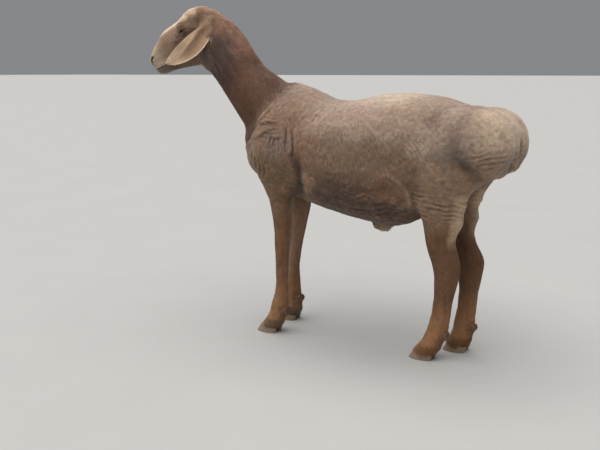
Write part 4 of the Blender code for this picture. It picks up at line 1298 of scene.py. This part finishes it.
# %% Claws and dewclaws
def grown_horn(name, low, high):
    """Hoof horn: keratin that grows down in rings, dry and scratched, dark with paler streaks."""
    material, tree, place = new_material(name)
    long_way = add(tree, "Mapping", {"Vector": place, "Scale": (1.0, 1.0, 0.18)})
    streaks = add(tree, "TexNoise", {"Vector": long_way, "Scale": 1 / (3.0 * MM), "Detail": 4.0})
    wander = add(tree, "TexNoise", {"Vector": place, "Scale": 1 / (30 * MM)})
    height = add(tree, "SeparateXYZ", {0: place}).outputs[2]
    shifted = maths(tree, "MULTIPLY_ADD", wander, 14 * MM, height)
    ring = maths(tree, "SINE", maths(tree, "MULTIPLY", shifted, 2 * math.pi / (4.5 * MM)))
    bump = add(tree, "Bump", {"Height": maths(tree, "MULTIPLY_ADD", ring, 0.07, streaks), "Strength": 0.6,
                              "Distance": 0.8 * MM})
    colour = add(tree, "MixRGB", {0: streaks, 1: rgba(low), 2: rgba(high)})
    finish_shader(tree, colour, 0.55, Normal=bump, **KERATIN)
    return material


CLAW_HORN = grown_horn("claw_horn", "#735f4d", "#a08a75")
DEWCLAW_HORN = grown_horn("dewclaw_horn", "#49372a", "#664f3c")
CLAW_PASSES = 8


def rounded_claw(node, horn):
    """The claw's solid with finer faces and softened facets; its flat sole is kept."""
    claw = mesh_object(node.replace("claw", "hoof"), *node_shape(node))
    modified(claw, "SUBSURF", subdivision_type="SIMPLE", levels=3, render_levels=3)
    fine = points_of(claw)
    ground = ramp(0.5 * MM, 3 * MM, fine[:, 2])[:, None]
    set_points(claw, fine + (smoothed(fine, Neighbours(claw), CLAW_PASSES) - fine) * ground)
    claw.data.materials.append(horn)
    claw.data.shade_smooth()
    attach(claw, BODY)
    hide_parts(node)


for node in sorted(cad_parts):
    if node.endswith("dewclaw"):
        rounded_claw(node, DEWCLAW_HORN)
    elif node.endswith("claw"):
        rounded_claw(node, CLAW_HORN)
print("claws and dewclaws done")

# %% [markdown]
# ## Floor, light and camera
# A museum figure under soft daylight: a pale floor, one wide lamp overhead, and a grey sky.


# %% Floor
def pale_plaster():
    """Smooth pale plaster: matt, with very faint clouds."""
    material, tree, place = new_material("pale_plaster")
    clouds = add(tree, "TexNoise", {"Vector": place, "Scale": 0.003 / MM})
    finish_shader(tree, add(tree, "MixRGB", {0: clouds, 1: rgba("#a5a39f"), 2: rgba("#aaa8a4")}), 0.8)
    return material


bpy.ops.mesh.primitive_plane_add(size=400, location=(0, 0, 0))
floor = bpy.context.object
floor.name = "floor"
floor.data.materials.append(pale_plaster())
print("floor laid")

# %% Light
scene = bpy.context.scene
scene.world = bpy.data.worlds.new("grey_sky")
scene.world.use_nodes = True
sky = scene.world.node_tree.nodes["Background"].inputs
sky["Color"].default_value, sky["Strength"].default_value = rgba("#e6e9ee"), 0.30
lamp = bpy.data.objects.new("soft_daylight", bpy.data.lights.new("soft_daylight", "SUN"))
lamp.data.energy, lamp.data.angle = 4.2, math.radians(80)
lamp.rotation_euler = (math.radians(8), math.radians(-6), 0)
scene.collection.objects.link(lamp)
scene.view_settings.view_transform = "Standard"
print("lamp of", lamp.data.energy, "watts per square metre")

# %% Camera
camera = bpy.data.objects.new("camera", bpy.data.cameras.new("camera"))
camera.data.lens = 46.8
camera.location = (1.2393, -2.2821, 0.885)
camera.rotation_euler = (math.radians(78.90), 0, math.radians(30))
scene.collection.objects.link(camera)
scene.camera = camera
print("camera with a lens of", camera.data.lens, "mm")
